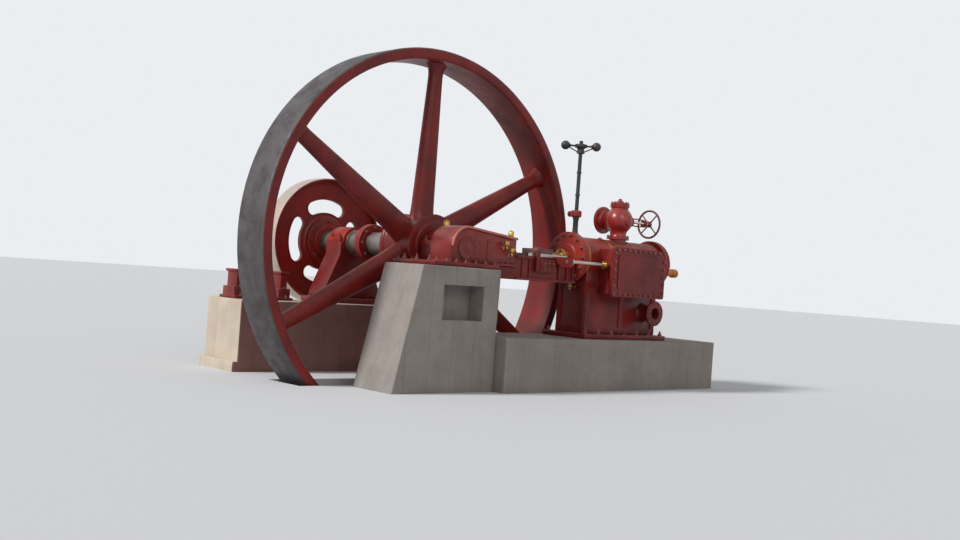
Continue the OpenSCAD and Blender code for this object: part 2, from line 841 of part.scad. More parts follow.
ball_fit = 0.2;
module governor_balls() {
    color("#2b2a29")
    for (s = [-1, 1])
        difference() {
            at_head() translate([s * governor_span / 2, 0, 0]) sphere(r = governor_ball_d / 2);
            head_arms(ball_fit);
        }
}

// Outboard bearing on its sole plate: a base that narrows to a neck, and a cap
sole_plate_margin = 60;
outer_foot_w = 820;
outer_foot_t = 70;
outer_neck_w = bearing_w - 40;
outer_neck_drop = 150;
module outboard_sole_plate() {
    half_l = block_cyl_l - sole_plate_margin;
    color("#7a2620")
    block(-half_l, half_l, block_mid_y - sole_plate_w / 2, block_mid_y + sole_plate_w / 2,
        block_top, block_top + sole_plate_t);
}

module outboard_bearing_base() {
    z0 = block_top + sole_plate_t;
    z1 = z0 + outer_foot_t;
    z2 = axis_h - outer_neck_drop;
    foot = outer_foot_w / 2;
    neck = outer_neck_w / 2;
    color("#8d2b24")
    difference() {
        translate([0, outer_bearing_y0 + outer_bearing_l, 0]) rotate([90, 0, 0])
            linear_extrude(outer_bearing_l)
            polygon([[-foot, z0], [foot, z0], [foot, z1], [neck, z2], [neck, axis_h],
                [-neck, axis_h], [-neck, z2], [-foot, z1]]);
        shaft_bore(outer_bearing_y0, outer_bearing_l);
    }
}

module outboard_bearing_cap() {
    color("#8d2b24") bearing_cap(outer_neck_w, outer_bearing_y0, outer_bearing_l);
}

// Low iron cradle at the open end of the outboard block: a plate with two posts, each on a wide foot
cradle_mid_x = cradle_inset - block_open_l;
cradle_plate_t = 30;
cradle_plate_edge = 90;
cradle_l = 240;
cradle_foot_w = 160;
cradle_foot_h = 130;
cradle_post_w = 86;
cradle_cap_w = 120;
cradle_cap_h = 30;
module cradle_stage(mid_x, w, l, z0, z1) {
    block(mid_x - w / 2, mid_x + w / 2, block_mid_y - l / 2, block_mid_y + l / 2,
        block_top + z0, block_top + z1);
}

module block_cradle() {
    color("#9a2f26") {
        cradle_stage(cradle_mid_x, cradle_pitch + 2 * cradle_plate_edge, cradle_l + 100, 0, cradle_plate_t);
        for (s = [-1, 1]) {
            mid_x = cradle_mid_x + s * cradle_pitch / 2;
            cradle_stage(mid_x, cradle_foot_w, cradle_l, cradle_plate_t, cradle_foot_h);
            cradle_stage(mid_x, cradle_post_w, cradle_l - 40, cradle_foot_h, cradle_h - cradle_cap_h);
            cradle_stage(mid_x, cradle_cap_w, cradle_l, cradle_h - cradle_cap_h, cradle_h);
        }
    }
}

// Shaft from the main bearing to the pulley, turned down at its free end
module crankshaft() {
    color("#6b6762")
    along_y(0, shaft_start_y, axis_h) {
        cylinder(r = shaft_r, h = shaft_shoulder_y - shaft_start_y);
        cylinder(r = shaft_end_d / 2, h = shaft_shoulder_y - shaft_start_y + shaft_tail);
    }
}

module flywheel_rim() {
    w = wheel_face_w / 2;
    chamfer = 12;
    color("#5d5a58")
    along_y(0, wheel_mid_y, axis_h) rotate_extrude($fn = 128)
        polygon([[rim_inner_r, -w + chamfer], [rim_inner_r + chamfer, -w], [wheel_r - chamfer, -w],
            [wheel_r, -w + chamfer], [wheel_r, w - chamfer], [wheel_r - chamfer, w],
            [rim_inner_r + chamfer, w], [rim_inner_r, w - chamfer]]);
}

// One spoke: rings with an oval section that tapers outwards and flares where it meets the rim
spoke_start = wheel_hub_d / 2 - 60;
spoke_end = rim_inner_r + 20;
spoke_sides = 20;
flare_start = rim_inner_r - spoke_flare_l;
spoke_stations = [spoke_start, (spoke_start + flare_start) / 2, flare_start,
    for (i = [1:5]) flare_start + spoke_flare_l * sin(i * 18), spoke_end];

function taper(r) = (r - spoke_start) / (spoke_end - spoke_start);
function flare_at(r) = r < flare_start ? 0
    : spoke_flare * (1 - sqrt(max(0, 1 - pow((r - flare_start) / spoke_flare_l, 2))));
function spoke_ring(r) = let (
        w = (spoke_root_w + (spoke_tip_w - spoke_root_w) * taper(r)) / 2 + flare_at(r),
        t = (spoke_root_t + (spoke_tip_t - spoke_root_t) * taper(r)) / 2 + flare_at(r) / 2
    ) [for (i = [0:spoke_sides - 1])
        [r, w * cos(i * 360 / spoke_sides), t * sin(i * 360 / spoke_sides)]];

module spoke() {
    n = spoke_sides;
    last = len(spoke_stations) - 1;
    polyhedron(
        points = [for (r = spoke_stations) each spoke_ring(r)],
        faces = [
            [for (i = [0:n - 1]) i],
            [for (i = [0:n - 1]) last * n + n - 1 - i],
            for (s = [0:last - 1], i = [0:n - 1])
                [s * n + i, (s + 1) * n + i, (s + 1) * n + (i + 1) % n, s * n + (i + 1) % n]
        ]);
}

module flywheel_center() {
    color("#8d2a24")
    along_y(0, wheel_mid_y, axis_h)
    difference() {
        union() {
            intersection() {
                for (i = [0:spoke_count - 1])
                    rotate([0, 0, -spoke_turn - i * 360 / spoke_count]) spoke();
                cylinder(r = rim_inner_r, h = wheel_face_w, center = true, $fn = 256);
            }
            cylinder(r = wheel_hub_d / 2, h = wheel_hub_w, center = true);
            for (s = [-1, 1])
                translate([0, 0, s * (wheel_hub_w / 2 - hub_band)])
                    cylinder(r = wheel_hub_d / 2 + hub_band, h = hub_band * 2, center = true);
        }
        cylinder(r = shaft_r, h = wheel_hub_w + 2 * e, center = true);
    }
}

// Curved slot with round ends in the pulley's web
slot_end_r = pulley_slot_w / 2;
slot_span = 360 / pulley_slots - 2 * asin((pulley_arm_w / 2 + slot_end_r) / pulley_slot_r);
slot_steps = 8;
function arc_points(middle, r, from, to) = [for (i = [0:slot_steps - 1])
    let (a = from + (to - from) * i / slot_steps) middle + r * [cos(a), sin(a)]];
function slot_outline(half) = let (end = pulley_slot_r * [cos(half), sin(half)], start = [end[0], -end[1]])
    concat(arc_points([0, 0], pulley_slot_r + slot_end_r, -half, half),
        arc_points(end, slot_end_r, half, half + 180),
        arc_points([0, 0], pulley_slot_r - slot_end_r, half, -half),
        arc_points(start, slot_end_r, 180 - half, 360 - half));

module pulley_slot(h) {
    linear_extrude(h) polygon(slot_outline(slot_span / 2));
}

// Belt pulley: thin rim, slotted plate web and a hub as wide as the rim
module belt_pulley() {
    w = pulley_face_w;
    inner_r = pulley_d / 2 - pulley_rim_t;
    color("#9a2f26")
    along_y(0, pulley_y, axis_h)
    difference() {
        union() {
            difference() {
                cylinder(r = pulley_d / 2, h = w, $fn = 96);
                translate([0, 0, -e]) cylinder(r = inner_r, h = w + 2 * e, $fn = 96);
            }
            difference() {
                translate([0, 0, (w - pulley_web_t) / 2])
                    cylinder(r = inner_r + pulley_rim_t / 4, h = pulley_web_t, $fn = 96);
                for (i = [0:pulley_slots - 1])
                    rotate([0, 0, i * 360 / pulley_slots])
                        translate([0, 0, w / 2 - pulley_web_t]) pulley_slot(2 * pulley_web_t);
            }
            cylinder(r = pulley_hub_d / 2, h = w);
        }
        translate([0, 0, -e]) cylinder(r = shaft_r, h = w + 2 * e);
    }
}

module drive_flange() {
    color("#9a2f26")
    along_y(0, drive_flange_y, axis_h)
    difference() {
        cylinder(r = drive_flange_d / 2, h = drive_flange_t);
        translate([0, 0, -e]) cylinder(r = shaft_r, h = drive_flange_t + 2 * e);
    }
}

crank_pedestal();
cylinder_foundation();
outboard_block();
bed_plate();
crank_guard();
guard_edge_bead();
main_bearing_base();
main_bearing_cap();
main_bearing_oiler();
guard_oil_cups();
bed_girder();
crosshead();
slide_bar_near();
slide_bar_far();
girder_bracket();
piston_rod();
piston_rod_gland();
front_cylinder_head();
steam_cylinder();
back_cylinder_head();
cylinder_stand();
steam_chest();
steam_chest_cover();
valve_rod();
exhaust_elbow();
relief_valve();
tail_gland();
drain_cocks();
throttle_valve_body();
throttle_bonnet();
throttle_yoke();
governor_column();
governor_collar();
outboard_sole_plate();
outboard_bearing_base();
outboard_bearing_cap();
block_cradle();
crankshaft();
flywheel_rim();
flywheel_center();
belt_pulley();
drive_flange();
throttle_handwheel();
governor_sleeve();
governor_balls();
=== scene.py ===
import json
import math
from collections import namedtuple

import bmesh
import bpy
from mathutils import Matrix, Vector, noise


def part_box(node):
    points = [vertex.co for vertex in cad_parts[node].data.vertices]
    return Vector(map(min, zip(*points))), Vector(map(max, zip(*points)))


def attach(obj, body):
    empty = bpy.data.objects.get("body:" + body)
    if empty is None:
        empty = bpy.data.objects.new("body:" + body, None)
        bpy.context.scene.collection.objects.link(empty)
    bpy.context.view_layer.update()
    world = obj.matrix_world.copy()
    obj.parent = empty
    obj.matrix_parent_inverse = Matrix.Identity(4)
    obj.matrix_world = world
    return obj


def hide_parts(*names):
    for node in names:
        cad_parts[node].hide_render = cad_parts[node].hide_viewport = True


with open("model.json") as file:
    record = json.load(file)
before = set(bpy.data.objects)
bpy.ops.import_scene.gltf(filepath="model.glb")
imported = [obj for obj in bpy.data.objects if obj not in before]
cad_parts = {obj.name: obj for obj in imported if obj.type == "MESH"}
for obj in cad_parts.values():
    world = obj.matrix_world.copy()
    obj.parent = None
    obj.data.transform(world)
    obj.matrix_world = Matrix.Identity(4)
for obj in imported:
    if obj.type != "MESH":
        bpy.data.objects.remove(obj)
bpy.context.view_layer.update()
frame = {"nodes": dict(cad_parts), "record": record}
scene = bpy.context.scene
scene.view_settings.view_transform = "Standard"
record = frame["record"]


def tone(red, green, blue):  # screen colour, 0 to 255, as the linear colour that a shader takes
    linear = [((c / 255 + 0.055) / 1.055) ** 2.4 if c > 10 else c / 255 / 12.92 for c in (red, green, blue)]
    return (*linear, 1.0)


def span(node):  # lowest corner, highest corner and middle of a CAD node
    low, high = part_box(node)
    return low, high, (low + high) / 2


rimLow, rimHigh, rimMid = span("flywheel_rim")
shaftLow, shaftHigh, shaftMid = span("crankshaft")
axisZ = shaftMid.z
shaftR = (shaftHigh.x - shaftLow.x) / 2
groundZ = axisZ - 1.5  # the photo's ground line lies 1.5 m under the shaft

# Camera where the photograph was taken from, a little rolled as the slide is

cameraPlan = {
    "eye": (-7.795, -8.762, 1.935),
    "heading": (0.677, 0.736),
    "pitch": 0.36,
    "roll": 4.1,
    "lens": 41.66,
    "sensor": 36.0,
    "clipEnd": 400,
}


def makeCamera(plan):
    pitch, roll = math.radians(plan["pitch"]), math.radians(plan["roll"])
    ahead = Vector((*plan["heading"], 0)).normalized()
    forward = ahead * math.cos(pitch) + Vector((0, 0, math.sin(pitch)))
    level = Vector((ahead.y, -ahead.x, 0))
    above = level.cross(forward)
    right = level * math.cos(roll) + above * math.sin(roll)
    up = above * math.cos(roll) - level * math.sin(roll)
    data = bpy.data.cameras.new("photoCamera")
    data.sensor_width, data.lens, data.clip_end = plan["sensor"], plan["lens"], plan["clipEnd"]
    camera = bpy.data.objects.new("photoCamera", data)
    turn = Matrix((right, up, -forward)).transposed().to_4x4()
    camera.matrix_world = Matrix.Translation(plan["eye"]) @ turn
    scene.collection.objects.link(camera)
    scene.camera = camera


makeCamera(cameraPlan)
print("camera is set")

# Node trees: one small helper, used for shaders, shapes and the sky


class Net:  # a node tree; every value is a number, or a socket to link
    def __init__(self, tree):
        self.tree, self.link, self.new = tree, tree.links.new, tree.nodes.new

    def put(self, socket, value):
        if isinstance(value, bpy.types.NodeSocket):
            self.link(value, socket)
        elif value is not None:
            socket.default_value = value

    def node(self, kind, values=None, **settings):
        node = self.new(kind)
        for key, value in settings.items():
            setattr(node, key, value)
        for key, value in (values or {}).items():
            self.put(node.inputs[key], value)
        return node

    def math(self, operation, first, second=0.5, clamp=False):
        return self.node("ShaderNodeMath", {0: first, 1: second}, operation=operation, use_clamp=clamp).outputs[0]

    def plus(self, first, second, clamp=False):
        return self.math("ADD", first, second, clamp)

    def minus(self, first, second):
        return self.math("SUBTRACT", first, second)

    def times(self, first, second, clamp=False):
        return self.math("MULTIPLY", first, second, clamp)

    def shape(self, kind, geometry, values=None, entry="Geometry", **settings):  # a geometry node's result
        return self.node("GeometryNode" + kind, {entry: geometry, **(values or {})}, **settings).outputs[0]

    def vector(self, operation, first, second=None, output=0):
        return self.node("ShaderNodeVectorMath", {0: first, 1: second}, operation=operation).outputs[output]

    def split(self, vector):
        return self.node("ShaderNodeSeparateXYZ", {"Vector": vector}).outputs

    def ramp(self, value, low, high, toLow=0.0, toHigh=1.0):
        return self.node("ShaderNodeMapRange", {
            "Value": value, "From Min": low, "From Max": high, "To Min": toLow, "To Max": toHigh}).outputs[0]

    def mix(self, factor, first, second):
        node = self.node("ShaderNodeMix", data_type="RGBA")
        for key, value in (("Factor", factor), ("A", first), ("B", second)):
            self.put([s for s in node.inputs if s.name == key and s.enabled][0], value)
        return [s for s in node.outputs if s.enabled][0]

    def noise(self, vector, scale, detail=5.0, roughness=0.6):
        return self.node("ShaderNodeTexNoise", {
            "Vector": vector, "Scale": scale, "Detail": detail, "Roughness": roughness}).outputs["Fac"]


def makeTree(kind, name, inputs, outputs):  # a node group with named sockets
    tree = bpy.data.node_groups.new(name, kind)
    for label, sort, value in inputs:
        socket = tree.interface.new_socket(name=label, in_out="INPUT", socket_type="NodeSocket" + sort)
        if value is not None:
            socket.default_value = value
    for label, sort in outputs:
        tree.interface.new_socket(name=label, in_out="OUTPUT", socket_type="NodeSocket" + sort)
    return Net(tree), tree.nodes.new("NodeGroupInput").outputs, tree.nodes.new("NodeGroupOutput").inputs


surfaceOutputs = [("Colour", "Color"), ("Roughness", "Float"), ("Height", "Float")]


def makeSurface(name, inputs):
    net, sources, outputs = makeTree("ShaderNodeTree", name, inputs, surfaceOutputs)

    def close(*results):
        for result, output in zip(results, outputs):
            net.link(result, output)
        return net.tree

    return net, sources, net.new("ShaderNodeTexCoord").outputs, close


def makeAgedPaint():  # patchy paint with chips and rust, dust on what faces the sky
    net, inputs, coords, close = makeSurface("agedPaint", [
        ("Colour", "Color", (0.3, 0.02, 0.02, 1)), ("Deep", "Color", (0.1, 0.01, 0.01, 1)),
        ("Rust", "Color", (0.1, 0.04, 0.02, 1)), ("Dust", "Color", (0.4, 0.3, 0.25, 1)),
        ("Wear", "Float", 0.3), ("Dust Amount", "Float", 0.3), ("Gloss", "Float", 0.4),
    ])
    place = coords["Object"]
    clouds = net.noise(place, 3.1, 6.0, 0.62)
    patch = net.ramp(clouds, 0.36, 0.66)
    colour = net.mix(patch, inputs["Colour"], inputs["Deep"])
    runs = net.noise(net.vector("MULTIPLY", place, (14, 14, 1.3)), 1.0, 4.0, 0.55)
    runMask = net.times(net.ramp(runs, 0.56, 0.76), 0.45)
    colour = net.mix(runMask, colour, inputs["Deep"])
    grains = net.noise(place, 34.0, 9.0, 0.72)
    edgeOfChips = net.plus(net.times(inputs["Wear"], -0.16), 0.78)
    chipMask = net.times(net.minus(grains, edgeOfChips), 26.0, clamp=True)
    colour = net.mix(chipMask, colour, inputs["Rust"])
    facing = net.split(coords["Normal"])["Z"]
    dustNoise = net.ramp(net.noise(place, 9.0, 6.0, 0.7), 0.32, 0.72)
    dustMask = net.times(net.times(net.ramp(facing, 0.35, 1.0), dustNoise), inputs["Dust Amount"])
    colour = net.mix(dustMask, colour, inputs["Dust"])
    rough = net.plus(inputs["Gloss"], net.ramp(clouds, 0.3, 0.7, -0.05, 0.12))
    rough = net.plus(rough, net.times(chipMask, 0.3))
    rough = net.plus(rough, net.times(dustMask, 0.35), clamp=True)
    fine = net.times(net.noise(place, 90.0, 3.0, 0.5), 0.35)
    height = net.minus(net.plus(fine, clouds), chipMask)
    return close(colour, rough, height)


def makePouredConcrete():  # upright board marks, streaks that run down, pits and lime bloom
    net, inputs, coords, close = makeSurface("pouredConcrete", [
        ("Colour", "Color", (0.3, 0.28, 0.25, 1)), ("Stain", "Color", (0.1, 0.09, 0.08, 1)),
        ("Bloom", "Color", (0.5, 0.48, 0.44, 1)), ("Board", "Float", 0.16), ("Streaks", "Float", 0.5),
    ])
    place = coords["Object"]
    spot = net.split(place)
    tilt = net.split(coords["Normal"])["Z"]
    wall = net.ramp(net.math("ABSOLUTE", tilt, 0.0), 0.8, 0.6)
    board = net.math("DIVIDE", net.plus(spot["X"], spot["Y"]), inputs["Board"])
    boardIndex = net.math("FLOOR", board, 0.0)
    boardTone = net.node("ShaderNodeTexWhiteNoise", {"W": boardIndex}, noise_dimensions="1D").outputs["Value"]
    across = net.math("ABSOLUTE", net.minus(net.math("FRACT", board, 0.0), 0.5), 0.0)
    seam = net.times(net.ramp(across, 0.465, 0.495), wall)
    boardTone = net.times(boardTone, wall)
    clouds = net.noise(place, 2.3, 8.0, 0.66)
    colour = net.mix(net.ramp(clouds, 0.34, 0.68), inputs["Colour"], inputs["Bloom"])
    colour = net.mix(net.times(boardTone, 0.13), colour, inputs["Stain"])
    runs = net.noise(net.vector("MULTIPLY", place, (7, 7, 0.9)), 1.0, 8.0, 0.72)
    runMask = net.times(net.ramp(runs, 0.5, 0.74), inputs["Streaks"])
    colour = net.mix(runMask, colour, inputs["Stain"])
    pits = net.node("ShaderNodeTexVoronoi", {"Vector": place, "Scale": 26.0, "Randomness": 1.0}).outputs["Distance"]
    pitMask = net.ramp(pits, 0.16, 0.08)
    sparse = net.ramp(net.noise(place, 6.0, 2.0, 0.5), 0.5, 0.56)
    pitMask = net.times(pitMask, sparse)
    colour = net.mix(net.times(pitMask, 0.6), colour, inputs["Stain"])
    colour = net.mix(net.times(seam, 0.2), colour, inputs["Stain"])
    grain = net.noise(place, 120.0, 4.0, 0.7)
    colour = net.mix(net.ramp(grain, 0.3, 0.8, 0.0, 0.3), colour, inputs["Bloom"])
    height = net.plus(net.times(grain, 0.35), clouds)
    height = net.minus(height, net.times(pitMask, 1.2))
    height = net.minus(height, net.times(seam, 0.6))
    height = net.plus(height, net.times(boardTone, 0.5))
    return close(colour, net.ramp(clouds, 0.2, 0.8, 0.82, 0.96), height)


def makeTurnedMetal():  # fine tool lines across one direction, with oil and rust patches
    net, inputs, coords, close = makeSurface("turnedMetal", [
        ("Colour", "Color", (0.4, 0.4, 0.4, 1)), ("Stain", "Color", (0.1, 0.06, 0.04, 1)),
        ("Direction", "Vector", (0, 1, 0)), ("Lines", "Float", 300.0), ("Stain Amount", "Float", 0.4),
        ("Gloss", "Float", 0.3),
    ])
    place = coords["Object"]
    along = net.vector("DOT_PRODUCT", place, inputs["Direction"], "Value")
    toolMarks = {"W": net.times(along, inputs["Lines"]), "Scale": 1.0, "Detail": 3.0}
    lines = net.node("ShaderNodeTexNoise", toolMarks, noise_dimensions="1D").outputs["Fac"]
    clouds = net.noise(place, 5.0, 8.0, 0.7)
    stain = net.times(net.ramp(clouds, 0.42, 0.7), inputs["Stain Amount"])
    colour = net.mix(stain, inputs["Colour"], inputs["Stain"])
    colour = net.mix(net.ramp(lines, 0.35, 0.75, 0.0, 0.22), colour, inputs["Stain"])
    rough = net.plus(inputs["Gloss"], net.ramp(lines, 0.3, 0.7, -0.06, 0.08))
    rough = net.plus(rough, net.times(stain, 0.45), clamp=True)
    return close(colour, rough, lines)


agedPaint, pouredConcrete, turnedMetal = makeAgedPaint(), makePouredConcrete(), makeTurnedMetal()


slotOf = {}  # finish name to the record's material slot


def makeFinish(name, slot, group, values, metallic=0.0, bump=0.3, grain=0.002, coat=0.0, shine=0.5):
    material = bpy.data.materials.new(name)
    material.use_nodes = True
    net = Net(material.node_tree)
    shader = net.tree.nodes["Principled BSDF"].inputs
    for label, value in (("Metallic", metallic), ("Coat Weight", coat), ("Coat Roughness", 0.25),
                         ("Specular IOR Level", shine)):
        shader[label].default_value = value
    inner = net.new("ShaderNodeGroup")
    inner.node_tree = group
    for label, value in values.items():
        isColour = inner.inputs[label].type == "RGBA"
        inner.inputs[label].default_value = tone(*value) if isColour else value
    relief = net.node("ShaderNodeBump", {"Height": inner.outputs["Height"], "Strength": bump, "Distance": grain})
    net.link(inner.outputs["Colour"], shader["Base Color"])
    net.link(inner.outputs["Roughness"], shader["Roughness"])
    net.link(relief.outputs["Normal"], shader["Normal"])
    slotOf[name] = slot
    return material


def makePaint(name, slot, colour, deep, wear, dusty, gloss, rust=(72, 42, 31), dust=(158, 118, 100), **shading):
    values = {"Colour": colour, "Deep": deep, "Rust": rust, "Dust": dust, "Wear": wear, "Dust Amount": dusty,
              "Gloss": gloss}
    return makeFinish(name, slot, agedPaint, values, **shading)


def makeMetal(name, slot, colour, stain, direction, lines, stained, gloss, metallic, bump=0.15):
    values = {"Colour": colour, "Stain": stain, "Direction": direction, "Lines": lines, "Stain Amount": stained,
              "Gloss": gloss}
    return makeFinish(name, slot, turnedMetal, values, metallic, bump, 0.001)


def makeConcrete(name, colour, stain, bloom, streaks, bump=0.5):
    values = {"Colour": colour, "Stain": stain, "Bloom": bloom, "Board": 0.3, "Streaks": streaks}
    return makeFinish(name, "concrete", pouredConcrete, values, bump=bump, grain=0.004)


alongAxisX, alongAxisY, alongAxisZ = (1, 0, 0), (0, 1, 0), (0, 0, 1)  # the way that tool lines follow each other
castRed = makePaint("castRed", "red_paint", (122, 28, 24), (88, 23, 21), 0.55, 0.34, 0.4, bump=0.35, coat=0.06,
                    shine=0.3)
brightRed = makePaint("brightRed", "bright_red_paint", (151, 36, 27), (114, 29, 24), 0.5, 0.3, 0.36, coat=0.08,
                      shine=0.35)
guardRed = makePaint("guardRed", "red_paint", (134, 39, 33), (97, 29, 27), 0.4, 0.4, 0.36, bump=0.25, coat=0.08,
                     shine=0.35)
blackIron = makePaint("blackIron", "black_iron", (52, 49, 48), (36, 34, 34), 0.5, 0.3, 0.42, (82, 54, 40),
                      (120, 112, 104), metallic=0.2)
# pale pink red for the guard's bead: a painted highlight along the lit bead, with the paint's own dust on top
edgeRed = makePaint("edgeRed", "red_paint", (188, 104, 92), (160, 78, 68), 0.4, 0.4, 0.36, bump=0.25, coat=0.1)
valveRed = makePaint("valveRed", "bright_red_paint", (168, 36, 26), (131, 30, 24), 0.45, 0.22, 0.3, bump=0.25, coat=0.3)
wheelRed = makePaint("wheelRed", "black_iron", (110, 44, 36), (74, 34, 30), 0.8, 0.2, 0.4)
crossheadSteel = makePaint("crossheadSteel", "machined_steel", (128, 96, 88), (96, 60, 54), 0.6, 0.3, 0.4,
                           metallic=0.35)
treadSteel = makeMetal("treadSteel", "tread_steel", (82, 78, 79), (52, 42, 40), alongAxisY, 420, 0.75, 0.48, 0.4, 0.25)
polishedTread = makeMetal("polishedTread", "tread_steel", (206, 190, 178), (140, 92, 74), alongAxisY, 500, 0.4, 0.3,
                          0.75, 0.2)
shaftSteel = makeMetal("shaftSteel", "machined_steel", (150, 143, 138), (92, 66, 52), alongAxisY, 420, 0.55, 0.32, 0.8,
                       0.2)
rodSteel = makeMetal("rodSteel", "machined_steel", (196, 192, 186), (120, 96, 78), alongAxisX, 500, 0.3, 0.22, 0.9)
brassMetal = makeMetal("brassMetal", "brass", (206, 158, 78), (110, 74, 38), alongAxisZ, 300, 0.5, 0.28, 0.9)
bandBrass = makeMetal("bandBrass", "brass", (182, 116, 62), (120, 60, 38), alongAxisX, 260, 0.6, 0.34, 0.7)
boltSteel = makeMetal("boltSteel", "machined_steel", (122, 88, 78), (112, 36, 30), alongAxisZ, 200, 1.0, 0.42, 0.45,
                      0.2)
# grey and pale are one concrete in two tones: the grey is darkened as painted shade, the pale is lightened as painted
# light
greyConcrete = makeConcrete("greyConcrete", (125, 118, 113), (78, 71, 68), (149, 141, 134), 0.28, 0.55)
paleConcrete = makeConcrete("paleConcrete", (176, 162, 142), (124, 108, 92), (198, 186, 168), 0.25)
# darker, reddish concrete for the outboard block's side towards the wheel: painted shade with a reddish tint
washedConcrete = makeConcrete("washedConcrete", (122, 84, 78), (84, 50, 46), (140, 104, 96), 0.35)
print("finishes are made")

# Mesh building: everything is drawn where it stands, so each object keeps its origin at zero


def frameAt(origin, axis, side):  # local Z along axis, local X along side
    z, x = Vector(axis).normalized(), Vector(side).normalized()
    return Matrix.Translation(origin) @ Matrix((x, z.cross(x), z)).transposed().to_4x4()


def alongX(x, y, z):
    return frameAt((x, y, z), (1, 0, 0), (0, 1, 0))


def backX(x, y, z):
    return frameAt((x, y, z), (-1, 0, 0), (0, 1, 0))


def alongY(x, y, z):
    return frameAt((x, y, z), (0, 1, 0), (1, 0, 0))


def towardNear(x, y, z):
    return frameAt((x, y, z), (0, -1, 0), (1, 0, 0))


def upright(x, y, z):
    return Matrix.Translation((x, y, z))


def mm(*points):  # points in millimetres, as metres
    return [tuple(v / 1000 for v in point) for point in points]


def lifted(place, height):
    return place @ Matrix.Translation((0, 0, height))


def around(count, start=0.0):  # angles that go once round
    return [start + 2 * math.pi * i / count for i in range(count)]


def softCorners(points, radius, steps=2, closed=False):  # rounds the corners of an outline or profile
    result = []
    count = len(points)
    for i, point in enumerate(points):
        if not closed and i in (0, count - 1):
            result.append(tuple(point))
            continue
        here, before, after = Vector(point), Vector(points[i - 1]), Vector(points[(i + 1) % count])
        reach = min(radius, (before - here).length * 0.45, (after - here).length * 0.45)
        if reach < 1e-5:
            result.append(tuple(point))
            continue
        start, end = here + (before - here).normalized() * reach, here + (after - here).normalized() * reach
        for s in range(steps + 1):
            t = s / steps
            result.append(tuple(start * (1 - t) ** 2 + here * 2 * t * (1 - t) + end * t * t))
    return result


def addLathe(bm, profile, place, sides=48, closed=False, finish=0, soft=0.0, steps=2):  # profile of (radius, height)
    if soft:
        profile = softCorners(profile, soft, steps, closed)
    rings = []
    for radius, height in profile:
        turns = around(sides) if radius > 1e-6 else [0.0]
        points = [(radius * math.cos(a), radius * math.sin(a), height) for a in turns]
        rings.append([bm.verts.new(place @ Vector(p)) for p in points])
    for low, high in list(zip(rings, rings[1:])) + ([(rings[-1], rings[0])] if closed else []):
        for i in range(sides):
            j = (i + 1) % sides
            corners = [low[i % len(low)], low[j % len(low)], high[j % len(high)], high[i % len(high)]]
            corners = list(dict.fromkeys(corners))
            if len(corners) > 2:
                bm.faces.new(corners).material_index = finish


def addLoft(bm, rings, place, finish=0, closed=False):  # rings of points, capped or joined end to end
    placed = [[bm.verts.new(place @ Vector(p)) for p in ring] for ring in rings]
    count = len(placed[0])
    for low, high in list(zip(placed, placed[1:])) + ([(placed[-1], placed[0])] if closed else []):
        for i in range(count):
            bm.faces.new([low[i], low[(i + 1) % count], high[(i + 1) % count], high[i]]).material_index = finish
    if not closed:
        bm.faces.new(placed[0][::-1]).material_index = finish
        bm.faces.new(placed[-1]).material_index = finish


def bevelEdges(bm, edges, width):
    bmesh.ops.bevel(bm, geom=edges, offset=width, segments=2, profile=0.5, affect="EDGES", clamp_overlap=True,
                    material=-1)


def addPrism(bm, outline, place, depth, bevel=0.0, finish=0):  # outline in local X and Y, pushed along local Z
    bottom = [bm.verts.new(place @ Vector((x, y, 0))) for x, y in outline]
    top = [bm.verts.new(place @ Vector((x, y, depth))) for x, y in outline]
    count = len(outline)
    faces = [bm.faces.new(bottom[::-1]), bm.faces.new(top)]
    faces += [bm.faces.new([bottom[i], bottom[(i + 1) % count], top[(i + 1) % count], top[i]])
              for i in range(count)]
    for face in faces:
        face.material_index = finish
    if bevel:
        bevelEdges(bm, list({e for f in faces for e in f.edges if e.calc_face_angle(0) > 0.5}), bevel)


def addBox(bm, low, high, bevel=0.004, finish=0):
    (x0, y0, z0), (x1, y1, z1) = low, high
    addPrism(bm, [(x0, y0), (x1, y0), (x1, y1), (x0, y1)], Matrix.Translation((0, 0, z0)), z1 - z0, bevel, finish)


def ovalRing(distance, width, thickness, sides, bent=False):  # bent keeps every point at one distance from the axis
    points = [(width * math.cos(a), thickness * math.sin(a)) for a in around(sides)]
    return [(math.sqrt(max(0.0, distance ** 2 - x * x)) if bent else distance, x, z) for x, z in points]


def ringPath(radius, turn=0.0):
    return [(radius * math.cos(a), radius * math.sin(a), 0) for a in around(72, turn)]


def meshFrom(bm):
    bmesh.ops.remove_doubles(bm, verts=bm.verts, dist=1e-6)
    bmesh.ops.recalc_face_normals(bm, faces=bm.faces)
    mesh = bpy.data.meshes.new("shape")
    bm.to_mesh(mesh)
    bm.free()
    return mesh


def piece(name, shape, finishes, replaced=(), body="engine", slot=None, crease=35):
    mesh = meshFrom(shape) if isinstance(shape, bmesh.types.BMesh) else shape
    mesh.name = name
    slot = slot or slotOf[finishes[0].name]
    for material in finishes:
        if material.name not in mesh.materials:
            mesh.materials.append(material)
    mesh.shade_smooth()
    mesh.set_sharp_from_angle(angle=math.radians(crease))
    obj = bpy.data.objects.new(name, mesh)
    scene.collection.objects.link(obj)
    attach(obj, body)
    if replaced:
        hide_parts(*replaced)


def castCopy(bm, node, bevel):  # a CAD node's shape with its edges rounded
    part = bmesh.new()
    part.from_mesh(frame["nodes"][node].data)
    bmesh.ops.remove_doubles(part, verts=part.verts, dist=2e-5)
    bmesh.ops.dissolve_limit(part, angle_limit=math.radians(1.2), verts=part.verts, edges=part.edges)
    sharp = math.radians(40)
    bevelEdges(part, [e for e in part.edges if e.is_manifold and e.calc_face_angle(0) > sharp], bevel)
    bmesh.ops.triangulate(part, faces=[f for f in part.faces if len(f.verts) > 4])
    for face in part.faces:
        face.material_index = 0
    mesh = bpy.data.meshes.new("cast")
    part.to_mesh(mesh)
    part.free()
    bm.from_mesh(mesh)
    bpy.data.meshes.remove(mesh)


# Geometry Nodes: studs with nuts along any path, and the flywheel's rim


